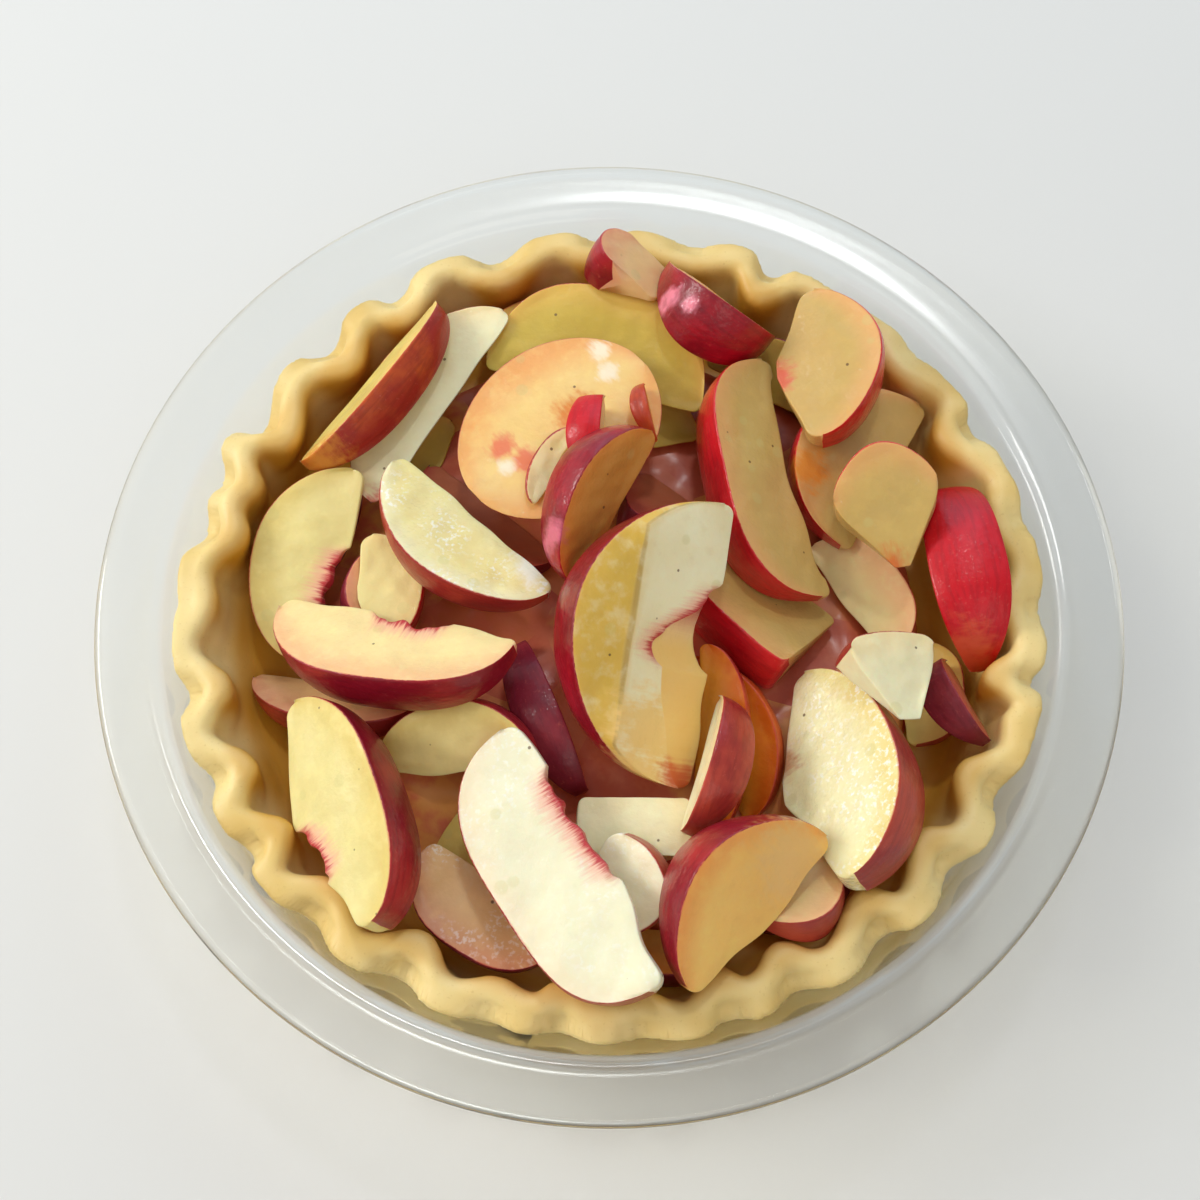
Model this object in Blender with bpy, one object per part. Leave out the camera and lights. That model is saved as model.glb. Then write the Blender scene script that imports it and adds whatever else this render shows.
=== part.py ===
"""Unbaked peach pie: a glass pie dish, a raw crust with a fluted edge and a heap of cut peaches.

Lengths are named in millimetres and written in metres. +Z is up, the pie's front edge lies
towards -Y, and the origin is the middle of the dish's underside.
"""
import math
import random
from collections import namedtuple

import bpy
import numpy as np
from mathutils import Matrix, Vector

MM = 0.001
SEED = 41
GAP = 0.3                       # clearance left between two pieces that touch

# Glass dish, a turned profile
DISH_RADIUS = 120.0             # over the flange
DISH_HEIGHT = 38.0
FLANGE_INNER_RADIUS = 106.4     # edge between the flange and the well
FLANGE_THICKNESS = 4.2
FOOT_RADIUS = 84.0
FOOT_WIDTH = 6.0
FOOT_RELIEF = 0.8
FLOOR_THICKNESS = 4.8
WELL_FLOOR_RADIUS = 84.0        # flat part of the inside floor
WELL_HEEL_RADIUS = 89.0
WELL_HEEL_Z = 8.0
WELL_TOP_RADIUS = 104.9
WELL_TOP_Z = 35.4
DISH_SEGMENTS = 90

# Crust, a shell that lines the well and stands up in a fluted edge
CRUST_COLUMNS = 180
CRUST_WALL = 3.6
CRUST_FLOOR = 3.4
RIM_TOP_Z = 33.6
RIM_THICKNESS = 6.9
FLUTE_START_Z = 13.0            # the flutes fade out at this height
FLUTE_FULL_Z = 29.0
SLOPE_THICKENING = 0.7          # how much a fold's steep flanks thicken, seen across the edge
EDGE_MEAN_RADIUS = 96.0
SLOPE_PROBE = 0.8               # degrees to each side over which a fold's slope is taken
RIM_WOBBLE = 0.7
RIM_SHOULDERS = (0.6, 2.4, 7.5)  # depths below the edge's top of the rows that round it off
RIM_TOP_SHARE = 0.62            # half thickness at the first of those rows, as a part of the full one
# (bearing in degrees, radius of the edge's middle line) of every fold, outer and inner in turn
FOLDS = (
    (5, 100.0), (11.5, 96.0), (18, 101.0), (27, 94.0), (32.5, 101.3), (40.5, 96.0),
    (49, 101.8), (53.5, 100.5), (59, 101.5), (65.5, 92.5), (70, 99.5), (77, 95.5),
    (85.5, 98.5), (91, 94.5), (98, 99.5), (107, 93.0), (115.5, 101.0), (123.5, 93.0),
    (128.5, 99.0), (136, 91.5), (142.5, 97.5), (152, 90.5), (156.5, 98.5), (161.5, 92.5),
    (164.8, 95.5), (169.5, 92.0), (176, 98.5), (181, 96.5), (187, 101.0), (194, 93.5),
    (200, 101.0), (206.5, 93.0), (211.5, 100.0), (217.5, 93.3), (222, 101.0), (229.5, 93.0),
    (236, 98.8), (243, 91.5), (249, 98.5), (255, 94.8), (259.5, 97.3), (263.5, 93.0),
    (269, 98.0), (274, 94.8), (280, 98.6), (285, 92.8), (288.5, 97.5), (294, 91.8),
    (299, 98.2), (308, 91.5), (312, 98.5), (320, 92.0), (325, 98.8), (332, 92.5),
    (338.5, 100.5), (341.5, 98.6), (343.8, 101.0), (347.5, 92.5), (352, 99.2), (358, 95.5),
)

# Fruit packed below the slices that show
CORE_RADIUS = 78.0
CORE_TOP_Z = 20.0
CORE_EDGE_Z = 13.0
CORE_CHAMFER = (2.0, 1.2)       # in and up, at the foot of the heap
CORE_SHOULDER = 1.5
CORE_RINGS = (0.75, 0.45)       # radii of the rings on the heap's top, as parts of its radius
CORE_SEGMENTS = 40

# A slice of peach. Its chord runs from `a` to `b` in plan and its skin lies to the left of that
# run. `width` is from the chord to the skin, `wedge` the angle between the two cut faces, `roll`
# lifts the skin side and `pitch` the `b` end. `fan` draws the chord side in towards both ends,
# `stone` is the depth of the hollow left by the stone, `stone_at` its place along the chord and
# `span` its half length as a part of the chord. `slab` is a thickness added between the cut
# faces, `keep` the part of the chord's length that is there, `blunt` how square the ends are and
# `ridge` a crease raised on the upper cut face, as (reach, height). `skirt` slants the chord side
# of the `a` half, so that the upper face ends that much short of the lower one. A slice with
# `cheek` is a cap instead: one flat cut that far from the fruit's axis. `over` is how far a slice
# may reach out over the crust's edge.
Slice = namedtuple(
    "Slice",
    "name a b width wedge roll pitch fan stone stone_at span slab keep blunt ridge skirt cheek over "
    "sections",
    defaults=(0.0, 0.0, 0.0, 0.0, 0.22, 0.0, (-1.0, 1.0), 2.0, None, 0.0, 0.0, 0.0, 9),
)
TILT_STEPS = (4.0, 6.0)         # first steps tried for roll and pitch, in degrees
TILT_LIMITS = (8.0, 18.0)
TILT_COST = 0.06                # millimetres of height that one degree must save
SETTLE_SCALES = (1.0, 0.5, 0.25)
SETTLE_GAIN = 0.02              # least gain for which another tilt is taken
SKIRT_RUN = (0.35, -0.1)        # where along the chord the slant begins and is full
RIDGE_LIMIT = 0.85              # a crease ends this far towards the skin
CHORD_EDGE = 0.8                # least distance of the chord side from the fruit's axis
THINNEST = 0.4                  # a slice ends where it would be thinner than this
END_HALVINGS = 24               # times that the stretch with that end in it is halved
CHEEK_CUT = 0.42                # share of a cheek's flat face that keeps its full level
FAN_FLAT = 0.05                 # share of the chord's length that a fan leaves as it is
OUTLINE_WOBBLE = 0.025
OUTLINE_WAVE = 7.0              # radians of that waviness along the chord
EDGE_CLEARANCE = 0.4            # more room between a slice and the crust's edge
EDGE_PASSES = 3
EDGE_STEP = 2                   # degrees between the bearings at which the edge is looked at
DROP_HEIGHT = 200.0             # a slice comes down from here
REST_MARGIN = 0.05              # more clearance, against rounding

# From the bottom of the heap to the top
SLICES = (
    Slice("front_low", (30, -76), (-4, -76), 13, 32, 6, sections=5),
    Slice("front_right_low", (60, -60), (32, -76), 12, 32, 6, sections=5),
    Slice("back_low", (24, 72), (58, 50), 16, 40, 6, sections=5),
    Slice("left_low", (-66, 40), (-78, 8), 8, 34, 0, sections=5),
    Slice("olive_between", (-51, 29), (-35, 52), 17, 28, 4, fan=0.2, sections=7),
    Slice("mauve_face", (-11, 15), (-44, 43), 20, 32, 8, sections=7),
    Slice("pink_under_wet", (-45, -9), (-47, 20), 20, 32, 8, sections=7),
    Slice("small_oval", (-64, 18), (-59, -13), 17, 30, 2, fan=0.25, blunt=2.3, sections=7),
    Slice("red_edge_left", (-44, -21), (-87, -12), 15, 34, 25, sections=7),
    Slice("pale_low_left", (-31, -41), (-47, -66), 22, 28, 8, sections=7),
    Slice("wet_pink_front", (-10, -82), (-43, -61), 19, 32, 0, blunt=2.3, sections=7),
    Slice("pale_right_low", (70, -5), (70, -33), 16, 28, 0, blunt=2.4, sections=7),
    Slice("wine_right", (115, -45), (107, -22), 16, 34, 55, sections=7),
    Slice("olive_deep", (2, 43), (24, 46), 17, 28, -8, sections=7),
    Slice("wine_deep", (24, 28), (9, 40), 20, 34, 30, sections=7),
    Slice("back_pale", (-39, 85), (5, 85), 17, 28, 0, sections=7),
    Slice("pink_round", (48, 17), (66, -13), 17, 32, 0, blunt=2.3, sections=7),
    Slice("orange_crescent", (16, -12), (31, -53), 17, 34, 25, sections=7),
    Slice("yellow_under_long", (21, -10), (17, -61), 14, 28, 0, sections=7),
    Slice("wine_centre", (-5, -46), (-21, -7), 15, 46, 70, sections=7),
    Slice("pale_wedge", (-56, -41), (-14, -44), 18, 28, 10, sections=7),
    Slice("bar", (-7, -34), (-9, -76), 28, 26, 0, keep=(-0.32, 0.30), slab=3, sections=5),
    Slice("white_chunk", (-4, -54), (-8, -80), 21, 28, 4, fan=0.5, sections=5),
    Slice("skin_and_face", (25, -25), (15, -59), 15, 44, 58, sections=7),
    Slice("orange_chunk", (46, -62), (30, -80), 18, 32, 8, sections=5),
    Slice("amber_back_right", (72, 22), (94, 61), 26, 32, 8, blunt=2.3),
    Slice("tan_right", (64, -10), (27, 26), 27, 34, 6, keep=(-0.55, 1.0), blunt=2.6),
    Slice("green_back", (-32, 62), (23, 49), 29, 26, -8, blunt=2.3),
    Slice("long_cream", (-57, 24), (-23, 76), 22, 28, -10),
    Slice("pink_back", (12, 72), (19, 91), 23, 34, 6, fan=0.3, keep=(-0.62, 0.62), over=14, sections=7),
    Slice("left_crescent", (-75, -15), (-63, 35), 24, 30, -8, fan=0.08, stone=3.5, stone_at=-0.2,
          span=0.2, blunt=2.3),
    Slice("peach_front_left", (-18, -13), (-79, 4), 24, 34, 2, fan=0.05, stone=3, stone_at=-0.1,
          span=0.16, blunt=2.3),
    Slice("left_front", (-84, -28), (-58, -89), 28, 34, 22, fan=0.36, over=8, stone=3.5,
          stone_at=0.2, span=0.12, blunt=2.3),
    Slice("white_front", (16, -92), (-17, -32), 28, 28, -12, fan=0.16, over=4, stone=3.5,
          stone_at=0.16, blunt=3),
    Slice("white_right", (36, -17), (43, -77), 31, 36, 30, fan=0.38, over=3, blunt=2.3),
    Slice("yellow_front", (18, -96), (51, -62), 25, 36, 30, fan=0.1, over=5),
    Slice("white_wedge_right", (42, -40), (92, -30), 22, 26, 0, fan=1.7, sections=7),
    Slice("red_skin_right", (94, -17), (90, 32), 23, 48, 74, over=2, blunt=2.3),
    Slice("fan_right", (52, 2), (87, 8), 30, 34, 16, -6, fan=1.4, sections=7),
    Slice("red_skin_back", (44, 74), (14, 91), 24, 40, 40, sections=7),
    Slice("back_left_wedge", (-51, 92), (-85, 47), 17, 42, 36),
    Slice("disc", (14, 66), (-40, 17), 30, 90, -90, cheek=21, blunt=2.2),
    Slice("wet_white", (-11, 1), (-51, 37), 21, 32, -4),
    Slice("red_left_arc", (54, 1), (41, 64), 25, 34, 8, stone=3, span=0.42, blunt=2.6),
    Slice("fan_back_right", (55, 103), (55, 55), 27, 32, 8, fan=0.4, sections=7),
    Slice("pale_strip", (-17, 20), (-7, 41), 7, 30, 6, sections=5),
    Slice("red_tab", (-3, 24), (-1, 50), 14, 36, 72, keep=(-0.75, 0.75), sections=5),
    Slice("orange_sliver", (12, 37), (9, 53), 9, 30, 66, sections=5),
    Slice("crimson_arc", (-8, -1), (13, 36), 19, 36, 38),
    Slice("long_top", (19, -48), (30, 18), 37, 32, 8, stone=4, stone_at=0.12, span=0.15, blunt=2.2,
          ridge=(22, 2.6), skirt=12),
)

COLOURS = {
    "dish": (0.82, 0.86, 0.86),
    "crust": (0.78, 0.60, 0.27),
    "core": (0.26, 0.05, 0.06),
}
FLESH = (0.85, 0.72, 0.42)


def clear_scene():
    """Start from an empty file."""
    for item in list(bpy.data.objects):
        bpy.data.objects.remove(item, do_unlink=True)


def add_material(name, colour, roughness=0.5):
    """One Principled material for one object."""
    material = bpy.data.materials.new(name + "_material")
    material.use_nodes = True
    shader = material.node_tree.nodes["Principled BSDF"]
    shader.inputs["Base Color"].default_value = (*colour, 1.0)
    shader.inputs["Roughness"].default_value = roughness
    return material


def add_object(name, points, faces, colour, roughness=0.5):
    """Make a mesh object from points in millimetres."""
    mesh = bpy.data.meshes.new(name)
    mesh.from_pydata([tuple(c * MM for c in p) for p in points], [], faces)
    mesh.validate()
    mesh.materials.append(add_material(name, colour, roughness))
    item = bpy.data.objects.new(name, mesh)
    bpy.context.scene.collection.objects.link(item)
    return item


def lathe(name, rings, colour, roughness):
    """Join closed rings of equal count, with a single point at each end, into one solid."""
    count = len(rings[0])
    first, last = rings[0], rings[-1]
    low = (0.0, 0.0, sum(p[2] for p in first) / count)
    high = (0.0, 0.0, sum(p[2] for p in last) / count)
    points = [low] + [p for ring in rings for p in ring] + [high]
    top = len(points) - 1
    faces = []
    for i in range(count):
        j = (i + 1) % count
        faces.append((0, 1 + j, 1 + i))
        for k in range(len(rings) - 1):
            lower = 1 + k * count
            upper = lower + count
            faces.append((lower + i, lower + j, upper + j, upper + i))
        last_ring = 1 + (len(rings) - 1) * count
        faces.append((last_ring + i, last_ring + j, top))
    return add_object(name, points, faces, colour, roughness)


def ring_of(radius, z, count):
    """A level circle of points."""
    turns = [2 * math.pi * i / count for i in range(count)]
    return [(radius * math.cos(t), radius * math.sin(t), z) for t in turns]


def well_radius(z):
    """Inside radius of the glass at height z."""
    heights = (FLOOR_THICKNESS, WELL_HEEL_Z, WELL_TOP_Z, DISH_HEIGHT)
    radii = (WELL_FLOOR_RADIUS, WELL_HEEL_RADIUS, WELL_TOP_RADIUS, FLANGE_INNER_RADIUS)
    return float(np.interp(z, heights, radii))


def build_dish():
    """The pie dish: flat foot, sloping wall and wide level flange."""
    under = DISH_HEIGHT - FLANGE_THICKNESS
    profile = (
        (FOOT_RADIUS - FOOT_WIDTH - 1.5, FOOT_RELIEF),
        (FOOT_RADIUS - FOOT_WIDTH, 0.0),
        (FOOT_RADIUS, 0.0),
        (FOOT_RADIUS + 4.5, 1.6),
        (WELL_HEEL_RADIUS + 3.6, 6.0),
        (WELL_TOP_RADIUS + 1.6, under - 2.6),
        (FLANGE_INNER_RADIUS + 3.0, under - 0.6),
        (DISH_RADIUS - 2.6, under + 0.3),
        (DISH_RADIUS - 0.6, under + 1.2),
        (DISH_RADIUS, under + 2.5),
        (DISH_RADIUS - 0.6, DISH_HEIGHT - 0.5),
        (DISH_RADIUS - 2.2, DISH_HEIGHT),
        (FLANGE_INNER_RADIUS + 1.4, DISH_HEIGHT - 0.5),
        (FLANGE_INNER_RADIUS, DISH_HEIGHT - 1.0),
        (WELL_TOP_RADIUS, WELL_TOP_Z),
        (WELL_HEEL_RADIUS, WELL_HEEL_Z),
        (WELL_HEEL_RADIUS - 2.0, FLOOR_THICKNESS + 1.0),
        (WELL_FLOOR_RADIUS, FLOOR_THICKNESS),
    )
    rings = [ring_of(r, z, DISH_SEGMENTS) for r, z in profile]
    return lathe("dish", rings, COLOURS["dish"], 0.05)


def fold_radius(bearing):
    """Radius of the crust edge's middle line, a smooth wave through FOLDS."""
    folds = [(FOLDS[-1][0] - 360, FOLDS[-1][1])] + list(FOLDS) + [(FOLDS[0][0] + 360, FOLDS[0][1])]
    for (a0, r0), (a1, r1) in zip(folds, folds[1:]):
        if a0 <= bearing <= a1:
            part = (bearing - a0) / (a1 - a0)
            return r0 + (r1 - r0) * 0.5 * (1 - math.cos(math.pi * part))
    return folds[0][1]


def smooth_step(low, high, value):
    """Ease from 0 at low to 1 at high."""
    t = min(1.0, max(0.0, (value - low) / (high - low)))
    return t * t * (3 - 2 * t)


def rim_height(bearing):
    """Height of the crust's edge, slightly uneven."""
    turn = math.radians(bearing)
    wave = math.sin(5 * turn + 0.6) + 0.7 * math.sin(9 * turn + 2.1) + 0.5 * math.sin(17 * turn)
    return RIM_TOP_Z + RIM_WOBBLE * 0.5 * wave


def crust_point(bearing, z, side, half):
    """Radius of the crust wall at one height; side is -1 inside, +1 outside."""
    amount = smooth_step(FLUTE_START_Z, FLUTE_FULL_Z, z)
    ahead = fold_radius((bearing + SLOPE_PROBE) % 360)
    behind = fold_radius((bearing - SLOPE_PROBE) % 360)
    slope = (ahead - behind) / (math.radians(2 * SLOPE_PROBE) * EDGE_MEAN_RADIUS)
    fluted_half = half * math.sqrt(1 + SLOPE_THICKENING * slope * slope)
    wall = well_radius(z) - GAP - CRUST_WALL / 2
    fluted = fold_radius(bearing)
    middle = wall + (fluted - wall) * amount
    thick = CRUST_WALL / 2 + (fluted_half - CRUST_WALL / 2) * amount
    return min(middle + side * thick, well_radius(z) - GAP)


def crust_rings():
    """Rings from the crust's underside, up the outside, over the edge and down the inside."""
    half = RIM_THICKNESS / 2
    narrow = half * RIM_TOP_SHARE
    high, middle, low = RIM_SHOULDERS
    base = FLOOR_THICKNESS + GAP
    floor = base + CRUST_FLOOR
    rows = [("flat", WELL_FLOOR_RADIUS - 1.0, base), ("wall", 10.0, 1, half), ("wall", 19.0, 1, half)]
    rows += [("rim", -low, 1, half), ("rim", -middle, 1, half), ("rim", -high, 1, narrow)]
    rows += [("rim", 0.0, 0, half), ("rim", -high, -1, narrow), ("rim", -middle, -1, half)]
    rows += [("rim", -low, -1, half), ("wall", 19.5, -1, half), ("wall", FLUTE_START_Z, -1, half)]
    rows += [("flat", WELL_FLOOR_RADIUS - 4.0, floor)]
    rings = []
    for row in rows:
        ring = []
        for i in range(CRUST_COLUMNS):
            bearing = 360.0 * i / CRUST_COLUMNS
            if row[0] == "flat":
                radius, z = row[1], row[2]
            elif row[0] == "wall":
                z = row[1]
                radius = crust_point(bearing, z, row[2], row[3])
            else:
                z = rim_height(bearing) + row[1]
                radius = crust_point(bearing, z, row[2], row[3])
            turn = math.radians(bearing)
            ring.append((radius * math.cos(turn), radius * math.sin(turn), z))
        rings.append(ring)
    return rings


def build_crust():
    """The raw crust as one shell."""
    return lathe("crust", crust_rings(), COLOURS["crust"], 0.6)


def build_core():
    """Plain heap of packed fruit below the slices that show."""
    base = FLOOR_THICKNESS + GAP + CRUST_FLOOR + GAP
    rise = CORE_TOP_Z - CORE_EDGE_Z
    profile = [(CORE_RADIUS - CORE_CHAMFER[0], base), (CORE_RADIUS, base + CORE_CHAMFER[1])]
    profile.append((CORE_RADIUS - CORE_SHOULDER, CORE_EDGE_Z))
    for part in CORE_RINGS:
        profile.append((CORE_RADIUS * part, CORE_EDGE_Z + rise * math.sqrt(1 - part * part)))
    rings = [ring_of(r, z, CORE_SEGMENTS) for r, z in profile]
    return lathe("core", rings, COLOURS["core"], 0.5)


def outline(spec, length, x, wobble):
    """Distance of the skin and of the chord side from the chord, at x along it."""
    part = min(1.0, abs(2 * x / length))
    outer = spec.width * (1 - part ** spec.blunt) ** (1 / spec.blunt)
    outer *= 1 + OUTLINE_WOBBLE * math.sin(wobble + OUTLINE_WAVE * x / length)
    inner = CHORD_EDGE + spec.fan * max(0.0, abs(x) - FAN_FLAT * length)
    along = (x - spec.stone_at * length / 2) / (spec.span * length)
    if spec.stone and abs(along) < 1:
        inner += spec.stone * math.sqrt(1 - along * along)
    return outer, inner


def chord_range(spec, length, wobble):
    """Where the slice starts and ends along its chord, and whether it is cut off there."""
    half = math.radians(spec.wedge / 2)

    def open_at(x):
        outer, inner = outline(spec, length, x, wobble)
        if spec.cheek:
            return outer > spec.cheek + THINNEST / 2
        return outer * math.cos(half) > inner + THINNEST

    ends = []
    for side in (-1, 1):
        limit = side * length / 2 * abs(spec.keep[0 if side < 0 else 1])
        if open_at(limit):
            ends.append((limit, True))
            continue
        inside, outside = 0.0, limit
        for _ in range(END_HALVINGS):
            x = (inside + outside) / 2
            inside, outside = (x, outside) if open_at(x) else (inside, x)
        ends.append((inside, False))
    return ends


def section(spec, length, x, wobble):
    """Corners of the slice across its chord, as (towards the skin, across the wedge)."""
    outer, inner = outline(spec, length, x, wobble)
    half = math.radians(spec.wedge / 2)
    if spec.cheek:
        half = math.acos(min(0.999, spec.cheek / outer))
    slab = spec.slab * outer / spec.width
    arc = []
    for part in (1.0, 1 / 3, -1 / 3, -1.0):
        turn = half * part
        arc.append((outer * math.cos(turn), outer * math.sin(turn) + slab / 2 * part))
    if spec.cheek:
        reach = arc[0][1] * CHEEK_CUT
        level = spec.cheek + (inner - CHORD_EDGE)
        return arc + [(level, -reach), (level, reach)]
    slope = math.tan(half)
    start, full = SKIRT_RUN
    upper = inner + spec.skirt * outer / spec.width * smooth_step(start, full, 2 * x / length)
    corners = arc + [(inner, -inner * slope - slab / 2), (upper, upper * slope + slab / 2)]
    if spec.ridge:
        place, rise = spec.ridge
        reach = min(place, upper + (arc[0][0] - upper) * RIDGE_LIMIT)
        corners.append((reach, reach * slope + slab / 2 + rise * outer / spec.width))
    return corners


def slice_mesh(spec, length, wobble):
    """Points and faces of one slice about the middle of its chord."""
    (start, cut_start), (end, cut_end) = chord_range(spec, length, wobble)
    count = spec.sections
    points, faces = [], []
    places = [0.5 * (1 - math.cos(math.pi * (i + 1) / (count + 1))) for i in range(count)]
    if cut_start:
        places[0] = 0.0
    if cut_end:
        places[-1] = 1.0
    for part in places:
        x = start + (end - start) * part
        points += [(x, y, z) for y, z in section(spec, length, x, wobble)]
    around = len(points) // count
    for k in range(count - 1):
        for i in range(around):
            j = (i + 1) % around
            here, there = k * around, (k + 1) * around
            faces.append((here + i, here + j, there + j, there + i))
    for is_cut, x, base, flip in ((cut_start, start, 0, True),
                                  (cut_end, end, (count - 1) * around, False)):
        order = [base + i for i in range(around)]
        if is_cut:
            faces.append(tuple(reversed(order)) if flip else tuple(order))
            continue
        outer, inner = outline(spec, length, x, wobble)
        level = spec.cheek or (outer + inner) / 2
        points.append((x, level, 0.0))
        tip = len(points) - 1
        for i in range(around):
            j = (i + 1) % around
            faces.append((base + j, base + i, tip) if flip else (base + i, base + j, tip))
    return points, faces


def pose_matrix(spec, roll, pitch):
    """Turn a slice from its own frame to its place in plan, with a small extra tilt."""
    a, b = Vector(spec.a), Vector(spec.b)
    run = b - a
    middle = (a + b) / 2
    bearing = math.atan2(run.y, run.x)
    turn = Matrix.Rotation(bearing, 4, "Z")
    tip = Matrix.Rotation(-math.radians(spec.pitch + pitch), 4, "Y")
    lean = Matrix.Rotation(math.radians(spec.roll + roll), 4, "X")
    return Matrix.Translation((middle.x, middle.y, 0.0)) @ turn @ tip @ lean


def move_inside(points, over):
    """Push a slice towards the middle until it is inside the crust's edge."""
    bearings = range(0, 361, EDGE_STEP)
    room = RIM_THICKNESS / 2 + GAP + EDGE_CLEARANCE
    inner_edge = [fold_radius(b % 360) - room for b in bearings]
    for _ in range(EDGE_PASSES):
        radius = np.hypot(points[:, 0], points[:, 1])
        turn = np.degrees(np.arctan2(points[:, 1], points[:, 0])) % 360
        excess = radius - np.interp(turn, list(bearings), inner_edge) - over
        worst = int(excess.argmax())
        if excess[worst] > 0:
            points[:, :2] -= points[worst, :2] * excess[worst] / radius[worst]
    return points


def signed_volume(points, faces):
    """Six times the enclosed volume, positive where the faces look outward."""
    total = 0.0
    for face in faces:
        for i in range(1, len(face) - 1):
            a, b, c = points[face[0]], points[face[i]], points[face[i + 1]]
            total += float(np.dot(a, np.cross(b, c)))
    return total


class Body:
    """A placed shape with the parts needed to rest another one on it."""

    def __init__(self, points, faces):
        self.points = np.array(points, float)
        triangles = [(f[0], f[i], f[i + 1]) for f in faces for i in range(1, len(f) - 1)]
        self.triangles = np.array(triangles)
        pairs = {tuple(sorted((f[i], f[(i + 1) % len(f)]))) for f in faces for i in range(len(f))}
        pairs |= {tuple(sorted(p)) for t in triangles for p in ((t[0], t[1]), (t[1], t[2]))}
        self.edges = np.array(sorted(pairs))
        self.refresh()

    def refresh(self):
        self.low = self.points.min(axis=0)
        self.high = self.points.max(axis=0)

    def lift(self, height):
        self.points[:, 2] += height
        self.refresh()

    def near(self, cells, low, high):
        """Rows of cells whose plan box meets the given one."""
        corners = self.points[cells]
        smallest, largest = corners.min(axis=1), corners.max(axis=1)
        hit = (smallest[:, :2] <= high[:2]).all(axis=1) & (largest[:, :2] >= low[:2]).all(axis=1)
        return corners[hit]


def over_triangles(points, corners):
    """Height of each point above every triangle that lies under or over it in plan."""
    if not len(points) or not len(corners):
        return np.empty(0)
    a, b, c = corners[:, 0], corners[:, 1], corners[:, 2]
    ab, ac = b - a, c - a
    area = ab[:, 0] * ac[:, 1] - ab[:, 1] * ac[:, 0]
    flat = np.abs(area) < 1e-9
    area = np.where(flat, 1.0, area)
    rel = points[:, None, :] - a[None]
    u = (rel[..., 0] * ac[:, 1] - rel[..., 1] * ac[:, 0]) / area
    v = (ab[:, 0] * rel[..., 1] - ab[:, 1] * rel[..., 0]) / area
    inside = (u >= 0) & (v >= 0) & (u + v <= 1) & ~flat
    height = rel[..., 2] - u * ab[:, 2] - v * ac[:, 2]
    return height[inside]


def edge_heights(upper, lower):
    """Height of each upper edge above each lower edge where they cross in plan."""
    if not len(upper) or not len(lower):
        return np.empty(0)
    p, r = upper[:, None, 0], (upper[:, 1] - upper[:, 0])[:, None]
    q, s = lower[None, :, 0], (lower[:, 1] - lower[:, 0])[None]
    cross = r[..., 0] * s[..., 1] - r[..., 1] * s[..., 0]
    flat = np.abs(cross) < 1e-9
    cross = np.where(flat, 1.0, cross)
    rel = q - p
    t = (rel[..., 0] * s[..., 1] - rel[..., 1] * s[..., 0]) / cross
    u = (rel[..., 0] * r[..., 1] - rel[..., 1] * r[..., 0]) / cross
    hit = (t >= 0) & (t <= 1) & (u >= 0) & (u <= 1) & ~flat
    height = (p[..., 2] + t * r[..., 2]) - (q[..., 2] + u * s[..., 2])
    return height[hit]


def least_height(upper, lower):
    """Smallest height of one body above another over the plan area they share."""
    low = np.maximum(upper.low, lower.low)
    high = np.minimum(upper.high, lower.high)
    if (low[:2] > high[:2]).any():
        return math.inf
    heights = [
        over_triangles(upper.points, lower.near(lower.triangles, upper.low, upper.high)),
        -over_triangles(lower.points, upper.near(upper.triangles, lower.low, lower.high)),
        edge_heights(upper.near(upper.edges, low, high), lower.near(lower.edges, low, high)),
    ]
    return min((float(h.min()) for h in heights if len(h)), default=math.inf)


def body_of(item):
    """The Body of an object already built."""
    points = [tuple(c / MM for c in v.co) for v in item.data.vertices]
    return Body(points, [tuple(p.vertices) for p in item.data.polygons])


def pose_slice(spec, points, faces, tilt, placed):
    """Set the slice down on the placed bodies with a small extra tilt (roll, pitch)."""
    roll, pitch = tilt
    pose = pose_matrix(spec, roll, pitch)
    posed = np.array([tuple(pose @ Vector(p)) for p in points])
    body = Body(move_inside(posed, spec.over), faces)
    body.lift(DROP_HEIGHT)
    clear = min(least_height(body, other) for other in placed)
    body.lift(GAP + REST_MARGIN - clear)
    cost = body.points[:, 2].mean() + TILT_COST * (abs(roll) + abs(pitch))
    return cost, body


def settle(spec, points, faces, placed):
    """Look for the small tilt that lets the slice lie lowest."""
    best = (0.0, 0.0)
    cost, body = pose_slice(spec, points, faces, best, placed)
    for scale in SETTLE_SCALES:
        moved = True
        while moved:
            moved = False
            for axis, sign in ((0, 1), (0, -1), (1, 1), (1, -1)):
                trial = list(best)
                trial[axis] += sign * scale * TILT_STEPS[axis]
                if abs(trial[axis]) > TILT_LIMITS[axis]:
                    continue
                new_cost, new_body = pose_slice(spec, points, faces, trial, placed)
                if new_cost < cost - SETTLE_GAIN:
                    best, cost, body, moved = tuple(trial), new_cost, new_body, True
    return body


def build_slices(placed):
    """Shape every slice and set it down on what lies under it."""
    dice = random.Random(SEED)
    for spec in SLICES:
        run = math.dist(spec.a, spec.b)
        length = run / math.cos(math.radians(spec.pitch))
        points, faces = slice_mesh(spec, length, dice.uniform(0, 2 * math.pi))
        if signed_volume(points, faces) < 0:
            faces = [tuple(reversed(f)) for f in faces]
        body = settle(spec, points, faces, placed)
        placed.append(body)
        add_object(spec.name, [tuple(p) for p in body.points], faces, FLESH, 0.35)


def main():
    clear_scene()
    build_dish()
    crust = build_crust()
    core = build_core()
    build_slices([body_of(crust), body_of(core)])


main()
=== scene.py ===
"""Looks of an unbaked peach pie: glass pie dish, raw fluted crust and a heap of cut peaches.

Shapes are made in millimetres and written in metres, in the frame of the solid model.
+Z is up, the pie's front edge lies towards -Y.
"""

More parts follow.
